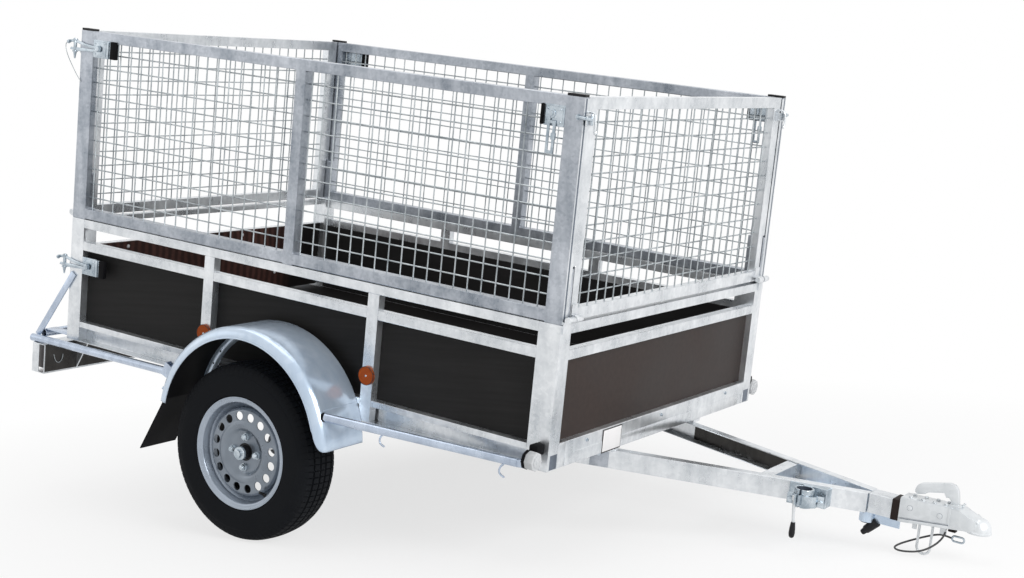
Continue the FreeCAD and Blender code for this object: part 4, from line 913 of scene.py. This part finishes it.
def make_hooks_and_loops():
    """Rope hooks under the side tubes, keeper wires of the latches, catch hooks of the front gate."""
    for side, word in both_sides:
        for index, (x, top) in enumerate(rope_hook_places):
            bent_wire("rope_hook_%s_%d" % (word, index), on_side(rope_hook, side, x, top), 3.2, tube_zinc)
        bent_wire("keeper_wire_" + word, on_side(keeper_wire, side), 1.3, wire_zinc, order=4)
        bent_wire("gate_catch_hook_" + word, on_side(catch_hook, side), 3.4, bright_zinc, "gate_front",
                  order=4)


# height of the light bar's lower edge
bar_low = -140.0


def make_rear_straps():
    """Straight flat straps from the rear posts to the step tube's ends, and small plates on that tube."""
    shape = bmesh.new()
    for side in (-1, 1):
        strap = ((14, 247), (34, 234), (-136, -21), (-156, -8))
        plate(shape, [(x, side * 686.4, z) for x, z in strap], Y * side * 5.0, rounding=0.8)
        block(shape, (-114, side * 632, 11.2), (-2, side * 684.5, 14.0), 0.6)
    piece("rear_brace_straps", shape, tube_zinc, smooth=35.0, replaces="rear_braces")


def make_small_fittings():
    """Tailgate, sill and saddle bolts, dark rings round the reflectors, sill ends, the blank plate, and
    painted shade: dark sheets on the light bar's face and in its holes, inside the drawbar arms and at the
    front posts.
    """
    heads = bmesh.new()
    for side in (-1, 1):
        for y, z in ((455.0, 322.0), (150.0, 322.0), (356.0, 155.0)):
            dome(heads, (43.0, side * y, z), X, 7.0, 3.6)
    piece("tailgate_bolts", heads, clear_lens, "tailgate", smooth=50.0)
    bolts, steel, rings_and_painted_shade, shade, tube, saddle = (bmesh.new() for shape in range(6))
    for y in (-465.0, 9.0, 483.0):
        bolt(bolts, (bed_length, y, 60.0), X, size=5.0)
    block(steel, (bed_length - 0.4, -588, 3.0), (bed_length + 1.1, 588, 38.0), 0.6)
    for side in (-1, 1):
        arm_side = [Vector((x, side * (273.2 - (x - bed_length) * arm_slope), z))
                    for x, z in ((1950, -68), (2006, -68), (2006, -6), (1950, -6))]
        plate(saddle, arm_side, Y * side * 2.2, rounding=0.8)
        washer = Vector((1976, side * (274.6 + 50 * arm_slope), -26))
        bar(bolts, washer, washer + Y * side * 3.0, 8.0, sides=20, rounding=1.0)
        bar(bolts, washer, washer + Y * side * 5.0, 4.4, sides=6, rounding=0.8)
        for x in (659.0, 1348.0):
            dome(bolts, (x, side * 693.2, 148.0), Y * side, 3.4, 2.0)
            rim = ((685.4, 30.0), (693.6, 30.0), (694.2, 29.4), (694.2, 28.4), (693.0, 28.0))
            turned(rings_and_painted_shade, rim, Vector((x, 0, 148.0)), Y * side, 40)
        block(steel, (bed_length - 10, side * 588, 1), (bed_length - 0.2, side * 628, 77.5), 0.8)
        block(steel, (bed_length - 0.5, side * 619, 1), (bed_length + 1.1, side * 632, 38), 0.6)
        # painted shade: a dark sheet in the open notch at the foot of each front post, and a dark strip
        # between the post and the front gate
        block(shade, (bed_length - 0.5, side * 634, 3), (bed_length + 0.5, side * 672, 47))
        block(shade, (bed_length - 0.5, side * 671, 440), (bed_length + 0.5, side * 679, 1086))
        block(steel, (bed_length - 0.5, side * 656, 440), (bed_length + 0.4, side * 671, 1086))
        block(steel, (bed_length - 0.5, side * 679, 440), (bed_length + 0.4, side * 684.5, 1086))
        tube_end = Vector((1932, side * 696.6, 10))
        bar(tube, tube_end, tube_end + Vector((34, -side * 5.5, 1)), 13.4, sides=24, rounding=3.0)
        # painted reflection of the dark ground: a dark plate over the light bar's front face; painted shade:
        # dark discs in its holes
        block(rings_and_painted_shade, (-77.4, side * 20, bar_low + 3), (-76.6, side * 711, bar_low + 104), 0)
        for y, z in ((676.0, -71.0), (622.0, -77.0)):
            bar(rings_and_painted_shade, (-77.3, side * y, z), (-76.4, side * y, z), 6.0, sides=18)
        # painted shade: a dark sheet on the inner face of each drawbar arm, inside its open channel
        inner = [(x, side * (268.0 - (x - bed_length) * arm_slope), z)
                 for x, z in ((2030, -66), (2438, -66), (2438, -14), (2030, -14))]
        plate(rings_and_painted_shade, inner, Y * side * -0.6)
    # a dark sheet a little larger than the blank plate, showing as a dark border round it
    block(rings_and_painted_shade, (bed_length + 1.0, -370.0, -1.0), (bed_length + 1.6, -254.0, 73.4))
    piece("bolt_heads", bolts, plated)
    piece("sill_fold", steel, galvanised)
    piece("saddle_plates", saddle, cage_zinc)
    piece("stay_ends", tube, tube_zinc)
    piece("reflector_rings_and_painted_shade", rings_and_painted_shade, dark_rings_and_painted_shade_zinc)
    piece("painted_shade_strips", shade, shaded_zinc)
    label = bmesh.new()
    block(label, (bed_length + 1.4, -367.0, 3.0), (bed_length + 2.2, -257.0, 71.0), 0.2)
    piece("blank_plate", label, blank_white)
    for side, word in both_sides:
        bent_wire("light_bar_loop_" + word, on_side(bar_loop, side), 1.4, wire_zinc, order=4)


# drawbar and coupling
arm_slope = 0.31394
# pressed coupling channel, (place, height) of its side, and of the lip along its lower edge
channel_side = ((2864, 1.5), (2960, 4.0), (3018, 6.0), (3018, -56.0), (2940, -64.0), (2871, -72.0),
                (2864, -71.0))
channel_lip = ((2868, -70), (2940, -62.5), (3017, -54.5), (3017, -46), (2940, -54), (2868, -61.5))
# painted shade: a thin dark line along the top edge of the lip, (place, height)
lip_shade_line = ((2866, -59.6), (2940, -52.2), (3017, -44.2), (3017, -45.6), (2940, -53.6), (2866, -61.0))
head_side = ((3014, 6), (3042, 5), (3078, -10.5), (3095, -17), (3097, -50), (3060, -51), (3014, -56))
head_top = ((3008, 4.4), (3042, 5.2), (3080, -9), (3096, -13.4))
handle_side = ((2895, 29), (2900, 44), (2911, 52), (2953, 62), (2996, 72), (3011, 69), (3020, 60), (3025, 46),
               (3031, 4), (3009, 0), (3005, 22), (2998, 29), (2990, 27), (2983, 40), (2936, 30), (2927, 23),
               (2904, 17), (2897, 21))
ball_x = 3096.0
# painted shade: a dark ring round each side rivet, (distance out, radius)
rivet_shade_ring = ((34.8, 8.6), (35.3, 8.6), (35.3, 7.2), (34.8, 7.2))
# strips of the dark band round the drawbar head, and the dark block under the channel
band_strips = (((2840, -33.0, -71.2), (2864, -31.2, -8.8)), ((2840, 31.2, -71.2), (2864, 33.0, -8.8)),
               ((2840, -33.0, -71.6), (2864, 33.0, -70.0)), ((2840, -33.0, -10.0), (2864, 33.0, -8.4)),
               ((3010, -10, -70), (3032, 10, -56)))
# ball head about an upright axis, (height, radius): outside from the lip up, then the hollow for the ball
ball_head = ((-54.0, 36.4), (-52.8, 37.8), (-48.0, 37.9), (-46.6, 36.0), (-38.0, 35.6), (-29.0, 33.4),
             (-20.0, 28.0), (-13.0, 20.2), (-9.2, 10.6), (-8.0, 0.0), (-20.5, 0.0), (-22.4, 9.4),
             (-27.6, 17.6), (-35.4, 23.2), (-46.0, 25.5), (-54.0, 25.5))
side_rivets = ((2896.0, -23.0), (2987.0, -24.0))


def make_coupling():
    """Pressed channel, wedge and hollow ball head, with rivets, top bolts and lugs."""
    shape = bmesh.new()
    for side in (-1, 1):
        plate(shape, [(x, side * 31.4, z) for x, z in channel_side], Y * side * 3.4, rounding=0.8)
        plate(shape, [(x, side * 34.4, z) for x, z in channel_lip], Y * side * 3.4, rounding=1.0)
        plate(shape, [(x, side * 31.4, z) for x, z in channel_side[2:4] + ((3010, -55.0), (3010, 5.6))],
              Y * side * 5.0, rounding=1.2)
        for x, z in side_rivets:
            bar(shape, (x, side * 34.6, z), (x, side * 35.4, z), 8.0, sides=24)
            bar(shape, (x, side * 34.6, z), (x, side * 37.6, z), 5.6, sides=20, rounding=0.9)
        for x in (3042.0, 3060.0):
            bar(shape, (x, side * 29.0, -15), (x, side * 31.4, -16), 4.4, sides=16, rounding=0.6)
        for x in (2890.0, 2926.0, 2962.0, 2996.0):
            bolt(shape, (x, side * 17, 4.4 + (x - 2890) * 0.03), Z, size=5.6)
    top_sheet = ((2864, -33, 0.6), (2864, 33, 0.6), (3018, 33, 5.0), (3018, -33, 5.0))
    plate(shape, top_sheet, Z * 2.6, rounding=0.8)
    for side in (-1, 1):
        plate(shape, [(x, side * 31.8, z) for x, z in head_side], Y * side * 3.6, rounding=1.6)
    for (start, high), (end, low) in zip(head_top, head_top[1:]):
        middle, outside = (20.0, 35.0) if end < 3090 else (16.0, 30.0)
        top = [(start, -20, high), (end, -middle, low), (end, middle, low), (start, 20, high)]
        plate(shape, top, Z * 2.6)
        drop = 2.2 if end < 3050 else 6.0
        for side in (-1, 1):
            strip = [(start, side * 20, high), (end, side * middle, low), (end, side * outside, low - drop),
                     (start, side * 35, high - 2.2)]
            plate(shape, strip, Z * 2.6)
    turned(shape, ball_head, Vector((ball_x, 0, 0)), Z, 56)
    block(shape, (3003, -14, 3), (3038, 14, 13), 3.0)
    for low, high in (((2900, -3, -92), (2914, 3, -66)), ((2984, -4, -86), (3004, 4, -58))):
        block(shape, low, high, 2.0)
    bar(shape, (3036, 4, 8), (3046, 4, 21), 3.6, rounding=0.8)
    piece("coupling_pressing", shape, bright_zinc, smooth=38.0, replaces="coupling_body")
    shape = bmesh.new()
    plate(shape, [(x, -9.5, z) for x, z in handle_side], Y * 19, rounding=2.2)
    piece("lifting_handle", shape, bright_zinc, smooth=38.0, replaces="coupling_handle")
    # painted shade lines along the lips and round the side rivets
    shape = bmesh.new()
    for side in (-1, 1):
        plate(shape, [(x, side * 37.75, z) for x, z in lip_shade_line], Y * side * 0.35)
        for x, z in side_rivets:
            turned(shape, rivet_shade_ring, Vector((x, 0, z)), Y * side, 28)
    piece("coupling_shade_lines", shape, shaded_zinc)
    shape = bmesh.new()
    for low, high in band_strips:
        block(shape, low, high, 0.4)
    piece("coupling_band", shape, dark_band)


arm_way, arm_outward = Vector((0.9541, 0.2995, 0)), Vector((0.2995, -0.9541, 0))
clamp_middle = Vector((2605, -142.3, 0))
# front jaw of the clamp seen from above, (place along the arm, distance outward) from the bore
clamp_jaw = ((-48, 7), (-48, 12), (-32, 12), (-27, 26), (-14, 34.5), (28, 34.5), (40, 26), (44, 12), (62, 12),
             (62, 7), (40, 7), (36, 22), (25, 30), (-11, 30), (-22, 22.5), (-28.6, 7))
lever_grip = ((-160.0, 0.0), (-160.0, 4.6), (-156.0, 8.0), (-146.0, 9.6), (-130.0, 8.8), (-112.0, 6.6),
              (-112.0, 0.0))
# painted shade: a dark sleeve inside the clamp's bore, (height, radius)
bore_shade_sleeve = ((-67.0, 23.9), (-67.0, 23.2), (-13.0, 23.2), (-13.0, 23.9))


def clamp_place(along, outward, height):
    """A point given beside the clamp's bore, along and square to the right drawbar arm."""
    return clamp_middle + arm_way * along + arm_outward * outward + Z * height


def make_drawbar_fittings():
    """Plug, lever, a dark sleeve of painted shade inside the clamp's bore, front jaw of the clamp, and the
    plate between the arms.
    """
    shape = bmesh.new()
    bar(shape, (2759, 0, -70.4), (2759, 0, -108), 19.8, sides=28, rounding=1.5)
    bar(shape, (2792, 0, -100), (2760, 0, -134), 15.5, sides=24, rounding=2.5, end_radius=13.0)
    bar(shape, (2762, 0, -132), (2750, 0, -145), 10.5, sides=20, rounding=2.0, end_radius=8.5)
    piece("plug_body", shape, black_plastic, replaces="plug")
    turned_piece("lever_grip", lever_grip, Vector((2598.5, -182.0, 0)), Z, 24, black_plastic)
    shape = bmesh.new()
    bar(shape, (2592.0, -182, -34), (2598.5, -182, -114), 4.8, sides=18, rounding=1.0)
    bar(shape, (2592.5, -182, -44), (2592.0, -182, -30), 7.4, sides=18, rounding=1.2)
    piece("lever_rod", shape, bright_zinc, replaces="clamp_lever")
    turned_piece("clamp_bore_shade", bore_shade_sleeve, clamp_middle, Z, 40, shaded_zinc)
    shape = bmesh.new()
    jaw = [clamp_place(*point, -62) for point in clamp_jaw]
    plate(shape, jaw, Z * 34, rounding=1.0)
    for along in (-38.0, 52.0):
        low, high = clamp_place(along, 12, -48), clamp_place(along, 21, -48)
        bar(shape, low, high, 9.0, sides=6, rounding=0.8)
        bar(shape, high, clamp_place(along, 27, -48), 5.0, sides=16)
    piece("clamp_jaw", shape, plated, smooth=38.0)
    shape = bmesh.new()
    near, far = 128.2 - 4.4, 40.6 - 4.4
    plate(shape, [(2484, -near, -66.3), (2763, -far, -66.3), (2763, far, -66.3), (2484, near, -66.3)], Z * 3)
    piece("drawbar_gusset", shape, sky_tinted_sheet_zinc)


lamp_way, lamp_rise = 738.0, 41.0
# facetted steps of a marker lamp: start, end, radius and rounding
lamp_steps = ((1994, 2023, 28.5, 3.5), (2022, 2025.6, 20.0, 1.6), (2025, 2027, 9.0, 0.8))


def make_front_lamps():
    """Facetted white marker lamps in black rubber housings on short arms."""
    lens, rubber = bmesh.new(), bmesh.new()
    for side in (-1, 1):
        y = side * lamp_way
        for start, end, radius, edge in lamp_steps:
            bar(lens, (start, y, lamp_rise), (end, y, lamp_rise), radius, sides=8, rounding=edge)
        bar(rubber, (1984, y, lamp_rise), (1994, y, lamp_rise), 29.5, sides=8, rounding=2.5)
        block(rubber, (1984, side * (half_width + seat), 52), (2014, side * 728, 84), 5.0)
    piece("front_lamp_lenses", lens, clear_lens, smooth=25.0, replaces="marker_lamps")
    piece("front_lamp_housings", rubber, flap_rubber, smooth=35.0, replaces="marker_arms")


make_latches()
make_hooks_and_loops()
make_rear_straps()
make_small_fittings()
make_coupling()
make_drawbar_fittings()
make_front_lamps()


# studio
shadow_fade = 0.72
surround_light = 0.36


def seen_by(tree, *kinds):
    """One where a ray of any of the given kinds looks, else nought."""
    path = add_node(tree, "LightPath")
    seen = path.outputs[kinds[0]]
    for kind in kinds[1:]:
        seen = add_node(tree, "Math", {0: seen, 1: path.outputs[kind]},
                        operation="MAXIMUM").outputs["Value"]
    return seen


def make_floor():
    """A pale floor that keeps the shadow near the trailer and fades to white further out."""
    shape = bmesh.new()
    bmesh.ops.create_grid(shape, x_segments=1, y_segments=1, size=60.0)
    mesh = bpy.data.meshes.new("studio_floor")
    shape.to_mesh(mesh)
    shape.free()
    floor = bpy.data.objects.new("studio_floor", mesh)
    scene.collection.objects.link(floor)
    material, tree, shader, place = start_material("studio floor")
    feed(tree, shader, {"Base Color": (0.93, 0.93, 0.93, 1), "Roughness": 0.9, "Specular IOR Level": 0.1})
    reach = add_node(tree, "VectorMath", {0: place}, operation="LENGTH")
    fade = add_node(tree, "MapRange", {"Value": reach.outputs["Value"], "From Min": 0.8, "From Max": 3.0,
                                       "To Min": shadow_fade, "To Max": 1.0})
    seen = seen_by(tree, "Is Camera Ray", "Is Glossy Ray")
    amount = add_node(tree, "Math", {0: fade.outputs["Result"], 1: seen}, operation="MULTIPLY")
    glow = add_node(tree, "Emission", {"Color": (1, 1, 1, 1), "Strength": 1.0})
    mix = add_node(tree, "MixShader", {0: amount.outputs["Value"], 1: shader.outputs["BSDF"],
                                       2: glow.outputs["Emission"]})
    feed(tree, tree.nodes["Material Output"], {"Surface": mix.outputs["Shader"]})
    floor.data.materials.append(material)


def make_world():
    """An even pale surround that camera, glossy and transmission rays see as white."""
    world = bpy.data.worlds.new("studio")
    scene.world = world
    world.use_nodes = True
    tree = world.node_tree
    seen = seen_by(tree, "Is Camera Ray", "Is Glossy Ray", "Is Transmission Ray")
    strength = add_node(tree, "MapRange", {"Value": seen, "To Min": surround_light, "To Max": 1.0})
    feed(tree, tree.nodes["Background"], {"Strength": strength.outputs["Result"], "Color": (1, 1, 1, 1)})


def add_softbox(name, place, aim, size, watts):
    """A square area lamp aimed at a point."""
    data = bpy.data.lights.new(name, "AREA")
    data.energy = watts
    data.size = size
    lamp = bpy.data.objects.new(name, data)
    scene.collection.objects.link(lamp)
    place, aim = Vector(place), Vector(aim)
    lamp.matrix_world = Matrix.Translation(place) @ facing(place - aim)


make_floor()
make_world()
add_softbox("key_softbox", (6.4, -1.8, 3.4), (0, 0, 0.7), 3.6, 330.0)
add_softbox("top_softbox", (-0.6, 0.4, 5.4), (0, 0, 0.5), 5.0, 90.0)
add_softbox("rear_fill", (-4.8, -3.4, 2.6), (0, 0, 0.6), 3.0, 12.0)
scene.view_settings.view_transform = "Standard"
